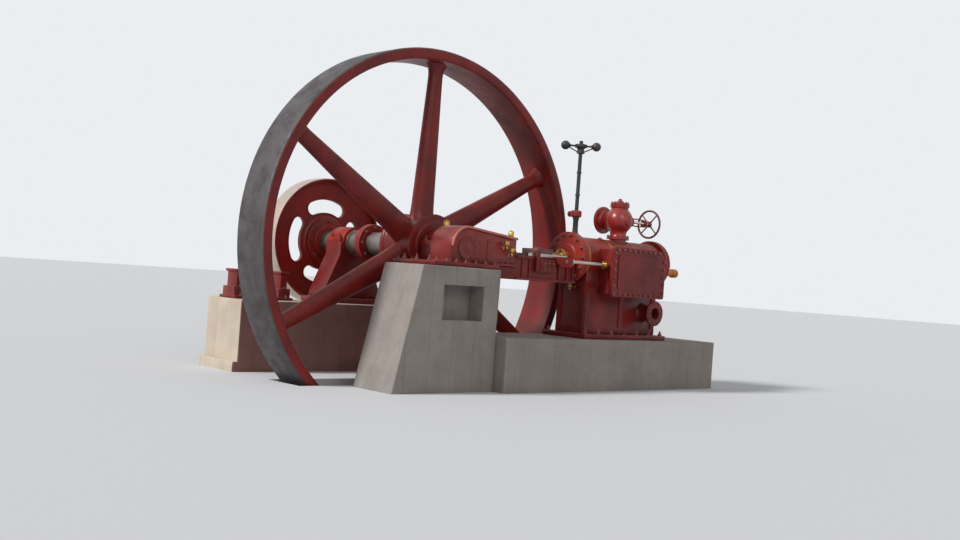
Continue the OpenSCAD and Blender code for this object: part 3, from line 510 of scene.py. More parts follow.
def makeShapeTree(name, inputs):
    made = makeTree("GeometryNodeTree", name, [("Geometry", "Geometry", None), *inputs], [("Geometry", "Geometry")])
    made[0].tree.is_modifier = True
    return made


def makeStudTree():  # washer, nut, chamfer and stud, turned at random
    net, inputs, outputs = makeShapeTree("studsOnPath", [
        ("Count", "Int", 8), ("Nut Radius", "Float", 0.02), ("Nut Height", "Float", 0.018),
        ("Stud Radius", "Float", 0.01), ("Stud Reach", "Float", 0.012), ("Seed", "Int", 1),
        ("Finish", "Material", None)])
    nut, height = inputs["Nut Radius"], inputs["Nut Height"]
    washer, reach = net.times(height, 0.12), net.plus(height, inputs["Stud Reach"])
    joined = net.new("GeometryNodeJoinGeometry").inputs["Geometry"]
    for kind, values, lift in (
            ("Cylinder", {"Vertices": 16, "Radius": net.times(nut, 1.25), "Depth": washer}, net.times(washer, 0.5)),
            ("Cylinder", {"Vertices": 6, "Radius": nut, "Depth": height}, net.times(height, 0.5)),
            ("Cone", {"Vertices": 6, "Radius Bottom": nut, "Radius Top": net.times(nut, 0.84),
                      "Depth": net.times(height, 0.14)}, height),
            ("Cylinder", {"Vertices": 10, "Radius": inputs["Stud Radius"], "Depth": reach}, net.times(reach, 0.5))):
        shape = net.node("GeometryNodeMesh" + kind, values).outputs["Mesh"]
        offset = net.node("ShaderNodeCombineXYZ", {"Z": lift}).outputs["Vector"]
        net.link(net.shape("Transform", shape, {"Translation": offset}), joined)
    path = net.shape("MeshToCurve", inputs["Geometry"], entry="Mesh")
    points = net.shape("ResampleCurve", path, {"Count": inputs["Count"]}, "Curve")
    spin = net.node("FunctionNodeRandomValue", {3: math.pi / 3, "Seed": inputs["Seed"]}, data_type="FLOAT").outputs[1]
    turn = net.node("FunctionNodeAxisAngleToRotation", {"Axis": (0, 0, 1), "Angle": spin}).outputs["Rotation"]
    placed = net.shape("InstanceOnPoints", points, {"Instance": joined.node.outputs["Geometry"], "Rotation": turn},
                       "Points")
    solid = net.shape("RealizeInstances", placed)
    net.link(net.shape("SetMaterial", solid, {"Material": inputs["Finish"]}), outputs["Geometry"])
    return net.tree


def makeRimTree():  # a rounded section swept round a circle; what faces outwards is the tread
    net, inputs, outputs = makeShapeTree("wheelRim", [
        ("Outer Radius", "Float", 2.0), ("Thickness", "Float", 0.12), ("Width", "Float", 0.5),
        ("Corner", "Float", 0.02), ("Segments", "Int", 192), ("Side Finish", "Material", None),
        ("Tread Finish", "Material", None)])
    middle = net.minus(inputs["Outer Radius"], net.times(inputs["Thickness"], 0.5))
    circle = net.node("GeometryNodeCurvePrimitiveCircle", {"Resolution": inputs["Segments"], "Radius": middle})
    size = {"Width": inputs["Thickness"], "Height": inputs["Width"]}
    section = net.node("GeometryNodeCurvePrimitiveQuadrilateral", size).outputs["Curve"]
    rounded = net.shape("FilletCurve", section, {"Radius": inputs["Corner"], "Count": 3}, "Curve", mode="POLY")
    swept = net.shape("CurveToMesh", circle.outputs["Curve"], {"Profile Curve": rounded}, "Curve")
    solid = net.shape("RealizeInstances", swept)
    sides = net.shape("SetMaterial", solid, {"Material": inputs["Side Finish"]})
    place = net.node("GeometryNodeInputPosition").outputs["Position"]
    outward = net.vector("NORMALIZE", net.vector("MULTIPLY", place, (1, 1, 0)))
    facing = net.node("GeometryNodeInputNormal").outputs["Normal"]
    dot = net.vector("DOT_PRODUCT", outward, facing, "Value")
    isTread = net.node("FunctionNodeCompare", {0: dot, 1: 0.6}, operation="GREATER_THAN").outputs["Result"]
    tread = net.shape("SetMaterial", sides, {"Selection": isTread, "Material": inputs["Tread Finish"]})
    net.link(tread, outputs["Geometry"])
    return net.tree


studTree, rimTree = makeStudTree(), makeRimTree()


def evaluated(obj):  # the plain mesh that an object's modifiers make
    bpy.context.view_layer.update()
    return bpy.data.meshes.new_from_object(obj.evaluated_get(bpy.context.evaluated_depsgraph_get()))


def runNodes(tree, mesh, values):  # evaluates a tree on a mesh and hands back the plain result
    holder = bpy.data.objects.new("holder", mesh)
    scene.collection.objects.link(holder)
    modifier = holder.modifiers.new("nodes", "NODES")
    modifier.node_group = tree
    for item in tree.interface.items_tree:
        if item.in_out == "INPUT" and item.name in values:
            modifier[item.identifier] = values[item.name]
    result = evaluated(holder)
    holder.modifiers.remove(modifier)
    bpy.data.objects.remove(holder)
    return result


# one run of studs: a path in local X and Y, with the nuts standing on local Z
StudRow = namedtuple("StudRow", "path place count nut closed reach seed", defaults=(True, 0.012, 1))


def ringRow(radius, place, count, nut, reach=0.012, seed=1, turn=0.0):
    return StudRow(ringPath(radius, turn), place, count, nut, True, reach, seed)


def studPiece(name, rows, body="engine"):
    total = bmesh.new()
    for row in rows:
        path = bpy.data.meshes.new("path")
        count = len(row.path)
        path.from_pydata(row.path, [(i, (i + 1) % count) for i in range(count if row.closed else count - 1)], [])
        mesh = runNodes(studTree, path, {
            "Count": row.count, "Nut Radius": row.nut, "Nut Height": row.nut * 0.9, "Stud Radius": row.nut * 0.5,
            "Stud Reach": row.reach, "Seed": row.seed, "Finish": boltSteel})
        mesh.transform(row.place)
        total.from_mesh(mesh)
        bpy.data.meshes.remove(mesh)
    mesh = bpy.data.meshes.new(name)
    total.to_mesh(mesh)
    total.free()
    piece(name, mesh, [boltSteel], body=body)


# Concrete foundations, with worn edges and a slightly wavy face

concretePlan = {"grid": 0.06, "edge": 0.022, "chip": 0.024, "wave": 0.004}
# the last entry picks, by how far a face turns towards -Y, the faces that take the painted shade
blockPlan = {"pedestalTop": -0.76, "recessRoom": 0.005, "recessFront": 0.1, "recessDepth": 0.23,
             "ledge": 0.06, "ledgeHeight": 0.85, "ledgeDepth": 0.18, "washFacing": -0.7}


def gridLines(low, high):
    count = max(2, round((high - low) / concretePlan["grid"]))
    edge = concretePlan["edge"]
    inner = [low + (high - low) * i / count for i in range(1, count)]
    inner = [v for v in inner if low + 1.6 * edge < v < high - 1.6 * edge]
    return [low, low + edge * 0.4, low + edge, *inner, high - edge, high - edge * 0.4, high]


def addConcrete(bm, low, high, seed, slope=0.0):  # slope leans the end at low X outwards towards the foot
    lines = [gridLines(low[k], high[k]) for k in range(3)]
    last = [len(line) - 1 for line in lines]
    shift = Vector((seed * 7.3, seed * 3.1, seed * 5.7))
    made = {}

    def corner(i, j, k):
        if (i, j, k) in made:
            return made[i, j, k]
        spot = Vector((lines[0][i], lines[1][j], lines[2][k]))
        worn = max(0.0, noise.noise((spot + shift) * 5.0) - 0.25) * concretePlan["chip"] * 2.2
        radius = concretePlan["edge"] * (0.75 + 0.5 * noise.noise((spot + shift) * 2.0)) + worn
        core = Vector([min(max(spot[a], low[a] + radius), high[a] - radius) for a in range(3)])
        out = spot - core
        if out.length > 1e-6:
            ripple = (0.5 + 0.5 * noise.noise((spot + shift) * 1.7)) * concretePlan["wave"]
            spot = core + out.normalized() * (radius - ripple)
        lean = slope * (high[2] - spot.z) * (high[0] - spot.x) / (high[0] - low[0])
        made[i, j, k] = bm.verts.new(spot - Vector((lean, 0, 0)))
        return made[i, j, k]

    for axis in range(3):
        a, b = (axis + 1) % 3, (axis + 2) % 3
        for side in (0, last[axis]):
            for u in range(last[a]):
                for v in range(last[b]):
                    ring = []
                    for du, dv in ((0, 0), (1, 0), (1, 1), (0, 1)):
                        index = [0, 0, 0]
                        index[axis], index[a], index[b] = side, u + du, v + dv
                        ring.append(corner(*index))
                    bm.faces.new(ring if side else ring[::-1])


def cutOut(mesh, cutter):  # the mesh without what the cutter fills
    knife = bpy.data.objects.new("knife", meshFrom(cutter))
    block = bpy.data.objects.new("block", mesh)
    for obj in (knife, block):
        scene.collection.objects.link(obj)
    boolean = block.modifiers.new("recess", "BOOLEAN")
    boolean.object, boolean.operation = knife, "DIFFERENCE"
    result = evaluated(block)
    for obj in (knife, block):
        bpy.data.objects.remove(obj)
    return result


def blockPiece(name, mesh, finishes, node):
    piece(name, mesh, finishes, [node], crease=50)


def makeFoundations():
    plan, openings = blockPlan, record["physics"]["openings"]
    low, high, _ = span("crank_pedestal")
    start, end = [box["box_m"] for box in openings if box["name"] == "pedestal_recess"][0]
    top, room = plan["pedestalTop"], plan["recessRoom"]
    block, cutter = bmesh.new(), bmesh.new()
    addConcrete(block, (top, low.y, low.z), high, 1, slope=(top - low.x) / (high.z - low.z))
    addBox(cutter, (start[0] - room, low.y - plan["recessFront"], start[2] - room),
           (end[0] + room, low.y + plan["recessDepth"], end[2] + room), 0.012)
    # the pedestal, and the cylinder's foundation below, take the grey concrete that is darkened as painted shade
    blockPiece("pedestalConcrete", cutOut(meshFrom(block), cutter), [greyConcrete], "crank_pedestal")
    low, high, _ = span("cylinder_foundation")
    block = bmesh.new()
    addConcrete(block, low, high, 2)
    blockPiece("cylinderConcrete", block, [greyConcrete], "cylinder_foundation")
    low, high, _ = span("outboard_block")
    wall = low.x + plan["ledge"]
    block = bmesh.new()
    addConcrete(block, (wall, low.y, low.z), high, 3)
    addConcrete(block, low, (low.x + plan["ledgeDepth"], high.y, low.z + plan["ledgeHeight"]), 4)
    block.normal_update()
    for face in block.faces:  # the side towards the wheel takes painted shade: a darker, reddish concrete
        face.material_index = int(face.normal.y < plan["washFacing"])
    # the rest of the outboard block takes the pale concrete that is lightened as painted light
    blockPiece("outboardConcrete", block, [paleConcrete, washedConcrete], "outboard_block")


makeFoundations()
print("foundations are made")

# Flywheel: rim by nodes, spokes lofted into it, hub turned

flywheelPlan = {
    "corner": 0.026, "segments": 192, "spokes": 6, "turn": 28.0,
    "rootWidth": 0.300, "rootDepth": 0.190, "tipWidth": 0.165, "tipDepth": 0.130,
    "rootFlare": 0.05, "tipFlare": 0.055, "flareLength": 0.17, "sides": 32, "stations": 30,
    "hubRadius": 0.320, "band": 0.026, "faceStep": 0.012, "thickness": 0.12, "key": (0.028, 0.03, 0.035),
}


def spokeRings(plan, innerR, outerR):  # oval rings that flare at both ends and bend round the axis
    rings = []
    for s in range(plan["stations"] + 1):
        t = s / plan["stations"]
        t = t - 0.16 * math.sin(2 * math.pi * t) / (2 * math.pi)  # stations stand closer at both ends
        distance = innerR + (outerR - innerR) * t
        rests = ((outerR - distance) / plan["flareLength"], (distance - innerR) / (plan["flareLength"] * 1.2))
        tip, root = (1 - math.sqrt(max(0.0, 1 - max(0.0, 1 - rest) ** 2)) for rest in rests)
        width = plan["rootWidth"] + (plan["tipWidth"] - plan["rootWidth"]) * t
        depth = plan["rootDepth"] + (plan["tipDepth"] - plan["rootDepth"]) * t
        width = width / 2 + tip * plan["tipFlare"] + root * plan["rootFlare"]
        depth = depth / 2 + tip * plan["tipFlare"] * 0.6 + root * plan["rootFlare"] * 0.5
        rings.append(ovalRing(distance, width, depth, plan["sides"], True))
    return rings


def makeFlywheel():
    plan = flywheelPlan
    outer, thickness = (rimHigh.x - rimLow.x) / 2, plan["thickness"]
    place = alongY(0, rimMid.y, axisZ)
    mesh = runNodes(rimTree, bpy.data.meshes.new("seed"), {
        "Outer Radius": outer, "Thickness": thickness, "Width": rimHigh.y - rimLow.y, "Corner": plan["corner"],
        "Segments": plan["segments"], "Side Finish": castRed, "Tread Finish": treadSteel})
    mesh.transform(place)
    bm = bmesh.new()
    bm.from_mesh(mesh)
    bmesh.ops.recalc_face_normals(bm, faces=bm.faces)
    bm.to_mesh(mesh)
    bm.free()
    piece("rimCasting", mesh, [castRed, treadSteel], ["flywheel_rim"], body="rotor", slot="tread_steel")
    low, high, _ = span("flywheel_center")
    bm = bmesh.new()
    for i in range(plan["spokes"]):
        turn = Matrix.Rotation(-math.radians(plan["turn"] + i * 360 / plan["spokes"]), 4, "Z")
        addLoft(bm, spokeRings(plan, plan["hubRadius"] - 0.06, outer - thickness + 0.004), place @ turn)
    half, r, band, step = (high.y - low.y) / 2, plan["hubRadius"], plan["band"], plan["faceStep"]
    quarter = [(r - 0.07, half), (r - 0.05, half - step), (r + band, half - step), (r + band, half - 2 * band),
               (r, half - 2 * band - 0.03)]
    profile = [(shaftR, -half), *((radius, -z) for radius, z in quarter), *quarter[::-1], (shaftR, half)]
    addLathe(bm, softCorners(profile, 0.016), place, 72, closed=True)
    wide, deep, rise = plan["key"]
    key = [(-wide, shaftR - 0.01), (wide, shaftR - 0.01), (wide, shaftR + rise), (-wide, shaftR + rise)]
    for z in (-half - 0.004, half + 0.004 - deep):
        addPrism(bm, key, lifted(place, z), deep, 0.004)
    piece("wheelSpokes", bm, [castRed], ["flywheel_center"], body="rotor")


makeFlywheel()
print("flywheel is made")

# Shaft, drive flange and belt pulley

shaftPlan = {"collar": 0.02, "collarGap": 0.03, "endRadius": 0.095, "chamfer": 0.006, "gap": 0.002, "nut": 0.02}
pulleyPlan = {
    "rim": 0.034, "crown": 0.006, "hub": 0.28, "boss": 0.2, "step": 0.03, "web": 0.04, "fillet": 0.028, "slots": 4,
    "slotRadius": 0.43, "slotWidth": 0.16, "arm": 0.12, "lip": 0.014, "lipRise": 0.009, "nuts": 8, "nut": 0.017,
}


def makeShaft():
    plan, low, high, axis = shaftPlan, shaftLow, shaftHigh, alongY(0, 0, axisZ)
    c, r, collar, end = plan["chamfer"], shaftR, shaftR + plan["collar"], plan["endRadius"]
    pulleyEnd = span("belt_pulley")[1].y
    bearingLow, bearingHigh, _ = span("outboard_bearing_base")
    profile = [(0, low.y), (r - c, low.y), (r, low.y + c)]
    for y in (bearingLow.y - plan["collarGap"], bearingHigh.y + plan["collarGap"]):
        profile += [(r, y - 0.012), (collar, y - 0.008), (collar, y + 0.008), (r, y + 0.012)]
    profile += [(r, pulleyEnd - c), (r - c, pulleyEnd), (end, pulleyEnd + 0.002), (end, high.y - c),
                (end - c, high.y), (0.018, high.y), (0.0, high.y - 0.02)]
    bm = bmesh.new()
    addLathe(bm, profile, axis, 64)
    piece("mainShaft", bm, [shaftSteel], ["crankshaft"], body="rotor")
    low, high, mid = span("drive_flange")
    flangeR, half = (high.x - low.x) / 2, plan["gap"] / 2
    bm = bmesh.new()
    for a, b in ((low.y, mid.y - half), (mid.y + half, high.y)):
        addLathe(bm, [(r, a), (flangeR, a), (flangeR, b), (r, b)], axis, 64, closed=True, soft=0.008)
    neck, a, b = flangeR - 0.008, mid.y - 2 * half, mid.y + 2 * half
    addLathe(bm, [(r, a), (neck, a), (neck, b), (r, b)], axis, 64, closed=True)
    piece("shaftFlange", bm, [brightRed], ["drive_flange"], body="rotor")
    places = (alongY(0, high.y - 0.001, axisZ), towardNear(0, low.y + 0.001, axisZ))
    studPiece("flangeStuds", [ringRow(flangeR - 0.045, place, 8, plan["nut"], seed=3 + i)
                              for i, place in enumerate(places)], body="rotor")


def slotOutline(plan, grow):  # curved slot with round ends, its middle on local X
    radius, half = plan["slotRadius"], plan["slotWidth"] / 2
    angle = math.pi / plan["slots"] - math.asin((plan["arm"] / 2 + half) / radius)
    half += grow

    def arc(distance, turn, way):
        turns = [way * turn * (i / 10 - 1) for i in range(20)]
        return [(distance * math.cos(a), distance * math.sin(a)) for a in turns]

    def roundEnd(side, start):
        x, y = radius * math.cos(angle), side * radius * math.sin(angle)
        turns = [start + math.pi * i / 12 for i in range(12)]
        return [(x + half * math.cos(a), y + half * math.sin(a)) for a in turns]

    return (arc(radius + half, angle, 1) + roundEnd(1, angle) + arc(radius - half, angle, -1)
            + roundEnd(-1, math.pi - angle))


def mirrored(points, middle):  # a closed profile from its half: the same points again beyond the middle height
    return points + [(radius, 2 * middle - z) for radius, z in points[::-1]]


def makePulley():
    plan = pulleyPlan
    low, high, _ = span("belt_pulley")
    outer, width = (high.x - low.x) / 2, high.y - low.y
    inner, mid, shoulder = outer - plan["rim"], width / 2, outer - plan["crown"] - 0.006
    place = alongY(0, low.y, axisZ)
    bm = bmesh.new()
    crown = [(outer - plan["crown"] * (2 * t - 1) ** 2, width * t) for t in (i / 8 for i in range(9))]
    rim = [(inner, 0.012), (inner + 0.008, 0.0), (shoulder, 0.0), *crown, (shoulder, width), (inner + 0.008, width),
           (inner, width - 0.012)]
    addLathe(bm, rim, place, 96, closed=True)
    for face in bm.faces:
        middle = face.calc_center_median()
        face.material_index = int(math.hypot(middle.x, middle.z - axisZ) > outer - plan["crown"] - 0.004)
    bead = mirrored([(inner + 0.004, mid - 0.05), (inner - 0.02, mid - 0.018)], mid)
    addLathe(bm, softCorners(bead, 0.01), place, 96, closed=True)
    hub, boss, step = plan["hub"], plan["boss"], plan["step"]
    addLathe(bm, mirrored([(shaftR, 0), (boss - 0.01, 0), (boss, 0.01), (boss, step), (hub - 0.01, step),
                           (hub, step + 0.01)], mid), place, 64, closed=True, soft=0.006)
    web, fillet = plan["web"] / 2, plan["fillet"]
    face = lifted(place, mid)
    plate, cutter = bmesh.new(), bmesh.new()
    addLathe(plate, mirrored([(hub - 0.01, -web - fillet), (hub + fillet, -web), (inner - fillet, -web),
                              (inner + 0.004, -web - fillet)], 0), face, 96, closed=True, soft=fillet, steps=4)
    rise, edge = web + plan["lipRise"], plan["lip"]
    lip = mirrored([(edge, 0.002 - web), (edge * 0.7, -rise), (0.003, -rise), (0, 0.003 - rise)], 0)
    for i in range(plan["slots"]):
        turn = face @ Matrix.Rotation(i * 2 * math.pi / plan["slots"], 4, "Z")
        addPrism(cutter, slotOutline(plan, edge * 0.5), lifted(turn, -0.1), 0.2)
        addLoft(bm, [[(x, y, z) for x, y in slotOutline(plan, grow)] for grow, z in lip], turn, closed=True)
    bm.from_mesh(cutOut(meshFrom(plate), cutter))
    piece("pulleyCasting", bm, [brightRed, polishedTread], ["belt_pulley"], body="rotor")
    places = (towardNear(0, low.y + step, axisZ), alongY(0, high.y - step, axisZ))
    studPiece("pulleyNuts", [ringRow((hub + boss) / 2, place, plan["nuts"], plan["nut"], seed=31 + i)
                             for i, place in enumerate(places)], body="rotor")


makeShaft()
makePulley()
print("shaft and pulley are made")


def castPiece(name, node, finish, bevel=0.008):
    bm = bmesh.new()
    castCopy(bm, node, bevel)
    piece(name, bm, [finish], [node])


def levelRow(x0, y0, x1, y1, z, count, nut, reach=0.012, seed=1):  # nuts that stand on a level face
    return StudRow([(x0, y0, 0), (x1, y1, 0)], upright(0, 0, z), count, nut, False, reach, seed)


def hexagon(radius):
    return [(radius * math.cos(a), radius * math.sin(a)) for a in around(6)]


# Bed plate and crank guard

bedPlan = {"inset": 0.05, "nut": 0.019, "anchorNut": 0.024}
guardPlan = {"lip": 0.03, "lipHeight": 0.022, "coverX": -0.095, "coverRadius": 0.125, "coverThickness": 0.013,
             "seamX": 0.19, "seamWidth": 0.045, "screw": 0.0095}


def makeBedAndGuard():
    low, high, _ = span("bed_plate")
    plan, x = bedPlan, low.x + bedPlan["inset"]
    castPiece("bedCasting", "bed_plate", castRed)
    studPiece("bedNuts", [
        levelRow(x, low.y + 0.03, high.x - 0.06, low.y + 0.03, high.z, 7, plan["nut"], 0.02, 5),
        levelRow(x, high.y - 0.035, low.x + 0.24, high.y - 0.035, high.z, 3, plan["nut"], 0.02, 6),
        levelRow(x, low.y + 0.14, x, high.y - 0.14, high.z, 3, plan["anchorNut"], 0.035, 7)])
    plan = guardPlan
    low, high, _ = span("crank_guard")
    lip, lipTop = plan["lip"], low.z + plan["lipHeight"]
    bm = bmesh.new()
    castCopy(bm, "crank_guard", 0.012)
    addBox(bm, (low.x - lip, low.y - lip, low.z), (high.x - 0.004, high.y - 0.01, lipTop), 0.006)
    cover = towardNear(plan["coverX"], low.y + 0.001, axisZ - 0.01)
    r, t = plan["coverRadius"], plan["coverThickness"]
    addLathe(bm, [(0, 0), (r, 0), (r, t - 0.004), (r - 0.004, t), (r - 0.03, t), (r - 0.036, t - 0.004),
                  (0.05, t - 0.004), (0.04, t + 0.002), (0, t + 0.004)], cover, 64)
    x, wide = plan["seamX"], plan["seamWidth"]
    addBox(bm, (x, low.y - 0.006, low.z + 0.02), (x + wide, low.y + 0.002, axisZ + 0.1), 0.003)
    piece("guardShell", bm, [guardRed], ["crank_guard"])
    # the bead's pale pink is a painted highlight
    castPiece("guardBead", "guard_edge_bead", edgeRed, 0.007)
    x = x + wide / 2
    studPiece("guardScrews", [
        ringRow(r - 0.017, lifted(cover, t), 12, plan["screw"], 0.001, 8),
        levelRow(low.x, low.y - lip / 2, high.x - 0.05, low.y - lip / 2, lipTop, 12, plan["screw"], 0.004, 9),
        StudRow([(x, low.z + 0.06, 0), (x, axisZ + 0.07, 0)], towardNear(0, low.y - 0.006, 0), 4, 0.008, False,
                0.001, 10)])


# Bearings: the same casting, brasses and nuts at both ends of the shaft

bearingPlan = {"brass": 0.022, "stand": 0.006, "earThickness": 0.052, "nutReach": 0.03}
oilerPlan = {"reach": 0.046, "radius": 0.03, "topRadius": 0.03, "topHeight": 0.085, "topInset": (-0.045, 0.05)}
oilerSteps = [(0, 0), (0.34, 0), (0.34, 0.12), (0.62, 0.14), (0.62, 0.2), (1, 0.28), (1, 0.7), (0.93, 0.74),
              (0.93, 0.8), (0.6, 0.9), (0.22, 0.93), (0.22, 0.97), (0, 1)]  # as shares of radius and height


def addOiler(bm, radius, height, place, sides):
    addLathe(bm, [(radius * a, height * b) for a, b in oilerSteps], place, sides)


def makeBearing(name, base, cap, earX, nut, seed):
    plan, reach = bearingPlan, bearingPlan["nutReach"]
    low, high, _ = span(cap)
    castPiece(name + "Base", base, castRed, 0.01)
    castPiece(name + "Cap", cap, brightRed, 0.009)
    inner, outer = shaftR + 0.001, shaftR + plan["brass"]
    bm = bmesh.new()
    for y0, y1 in ((low.y - plan["stand"], low.y + 0.02), (high.y - 0.02, high.y + plan["stand"])):
        addLathe(bm, [(inner, y0), (outer, y0), (outer, y1), (inner, y1)], alongY(0, 0, axisZ), 64, closed=True,
                 soft=0.003)
    piece(name + "Brasses", bm, [brassMetal])
    quarter, z = (high.y - low.y) * 0.23, axisZ + plan["earThickness"]
    studPiece(name + "Nuts", [levelRow(x, low.y + quarter, x, high.y - quarter, z, 2, nut, reach, seed + i)
                              for i, x in enumerate((-earX, earX))])


def makeBearings():
    makeBearing("mainBearing", "main_bearing_base", "main_bearing_cap", 0.208, 0.024, 11)
    low, high, mid = span("main_bearing_oiler")
    bm = bmesh.new()
    addOiler(bm, (high.x - low.x) / 2, high.z - low.z, upright(mid.x, mid.y, low.z), 40)
    piece("mainOiler", bm, [brassMetal], ["main_bearing_oiler"])
    plan, front = oilerPlan, span("crank_guard")[0].y
    low, high, _ = span("guard_oil_cups")
    reach, radius = plan["reach"], plan["radius"]
    stem = mm((0, -4), (17, -4), (17, 8), (10, 12)) + [(0.010, reach + 0.004), (0, reach + 0.008)]
    cup = mm((0, -11), (12, -9), (14, 0), (12, 20), (16, 28)) + [
        (radius, 0.036), (radius, 0.068), (radius * 0.9, 0.071), (radius * 0.5, 0.078), (0, 0.08)]
    bm = bmesh.new()
    for x, z in ((high.x - radius, low.z + 0.011), (low.x + radius, high.z - 0.08)):
        addLathe(bm, stem, towardNear(x, front, z), 24)
        addLathe(bm, cup, upright(x, front - reach, z), 32)
    piece("guardOilers", bm, [brassMetal], ["guard_oil_cups"])
    bead, endX = frame["nodes"]["guard_edge_bead"].data, span("guard_edge_bead")[1].x
    endZ = max(v.co.z for v in bead.vertices if v.co.x > endX - 0.01)  # top of the bead's lower end
    insetX, insetY = plan["topInset"]
    bm = bmesh.new()
    addOiler(bm, plan["topRadius"], plan["topHeight"], upright(endX + insetX, front + insetY, endZ - 0.006), 32)
    piece("guardTopOiler", bm, [brassMetal])
    makeBearing("outerBearing", "outboard_bearing_base", "outboard_bearing_cap", 0.194, 0.018, 15)
    castPiece("solePlate", "outboard_sole_plate", castRed)
    soleLow, soleHigh, _ = span("outboard_sole_plate")
    low, high, _ = span("outboard_bearing_base")
    footTop, soleTop, reach = soleHigh.z + 0.07, soleHigh.z, bearingPlan["nutReach"]
    rows = ((low.x + 0.06, footTop, 0.026), (high.x - 0.06, footTop, 0.026), (soleLow.x + 0.026, soleTop, 0.017),
            (soleHigh.x - 0.026, soleTop, 0.017))
    studPiece("outerFootNuts", [levelRow(x, low.y + 0.06, x, high.y - 0.06, z, 2, nut, reach, 20 + i)
                                for i, (x, z, nut) in enumerate(rows)])


makeBedAndGuard()
makeBearings()
print("bed, guard and bearings are made")

# Girder with its guides, crosshead and rods

girderPlan = {"lip": 0.016, "lipHeight": 0.034, "footHeight": 0.028, "start": 0.63, "rib": 0.014,
              "ribs": (0.72, 0.83, 1.3, 1.43, 1.53), "barNut": 0.016, "bracketNut": 0.014, "glandNut": 0.013}


def outwardFrom(face, side, rise):  # from 2 mm inside a face to rise outside it, lower end first
    return sorted((face - 0.002 * side, face + rise * side))


def makeGirder():
    plan = girderPlan
    low, high, _ = span("bed_girder")
    start, end, rib = plan["start"], high.x - 0.006, plan["rib"] / 2
    bm = bmesh.new()
    castCopy(bm, "bed_girder", 0.009)
    for side in (-1, 1):
        y0, y1 = outwardFrom(high.y * side, side, plan["lip"])
        addBox(bm, (start, y0, high.z - plan["lipHeight"]), (end, y1, high.z - 0.001), 0.005)
        addBox(bm, (start, y0, low.z + 0.001), (end, y1, low.z + plan["footHeight"]), 0.005)
        y0, y1 = outwardFrom(high.y * side, side, plan["lip"] - 0.003)
        for x in plan["ribs"]:
            addBox(bm, (x - rib, y0, low.z + 0.02), (x + rib, y1, high.z - 0.02), 0.003)
    piece("girderCasting", bm, [castRed], ["bed_girder"])
    castPiece("bracketCasting", "girder_bracket", castRed, 0.006)
    bracketLow, bracketHigh, _ = span("girder_bracket")
    barLow, barHigh, near = span("slide_bar_near")
    bars = [(x, y) for x in (barLow.x + 0.03, barHigh.x - 0.1) for y in (near.y, span("slide_bar_far")[2].y)]
    face = towardNear(0, bracketLow.y, 0)
    studPiece("girderNuts", [
        levelRow(x, y, x + 0.07, y, barHigh.z, 2, plan["barNut"], 0.014, 25 + i) for i, (x, y) in enumerate(bars)
    ] + [
        StudRow([(bracketLow.x + 0.11, z, 0), (bracketHigh.x - 0.05, z, 0)], face, 3, plan["bracketNut"], False,
                0.01, 30 + i) for i, z in enumerate((low.z + 0.13, low.z + 0.2))])
    _, head, mid = span("crosshead")
    rodLow, rodHigh, rod = span("piston_rod")
    bm = bmesh.new()
    castCopy(bm, "crosshead", 0.008)
    addPrism(bm, hexagon(0.062), alongX(head.x - 0.002, 0, rod.z), 0.045, 0.004)
    addLathe(bm, mm((0, 0), (45, 0), (45, 10), (30, 16), (30, 22), (0, 24)), upright(mid.x, 0, head.z - 0.004), 32)
    piece("crossheadBlock", bm, [crossheadSteel], ["crosshead"])
    low, high, _ = span("piston_rod_gland")
    bore, flange, length = (rodHigh.y - rodLow.y) / 2, (high.y - low.y) / 2, high.x - low.x
    neck = bore + 0.014
    bore += 0.001
    bm = bmesh.new()
    addLathe(bm, [(bore, 0), (flange, 0), (flange, 0.024), (neck, 0.026), (neck, 0.046), (0.066, 0.048),
                  (0.068, length), (bore, length)], alongX(low.x, 0, rod.z), 48, closed=True, soft=0.004)
    piece("rodGland", bm, [brassMetal], ["piston_rod_gland"])
    studPiece("rodGlandNuts", [ringRow(flange - 0.018, backX(low.x, 0, rod.z), 4, plan["glandNut"], 0.02, 33)])


# Cylinder with its heads, stand, valve chest and exhaust

cylinderPlan = {"body": 0.25, "flange": 0.045, "edge": 0.006, "sheet": 0.003, "bands": 4, "bandWidth": 0.036,
                "bandHeight": 0.004, "bandInset": 0.07, "headBolts": 14, "nut": 0.021}
standPlan = {"foot": 0.055, "x": (1.725, 3.015), "half": 0.215, "drop": 0.26, "rise": 0.011, "nut": 0.024}
chestPlan = {"plate": 0.016, "panel": 0.026, "panelInset": 0.085, "corner": 0.03, "studs": 30, "nut": 0.0165}
spindlePlan = {"y": -0.345, "z": 2.175, "radius": 0.02}
exhaustPlan = {"holes": 8, "hole": 0.009, "circle": 0.126}


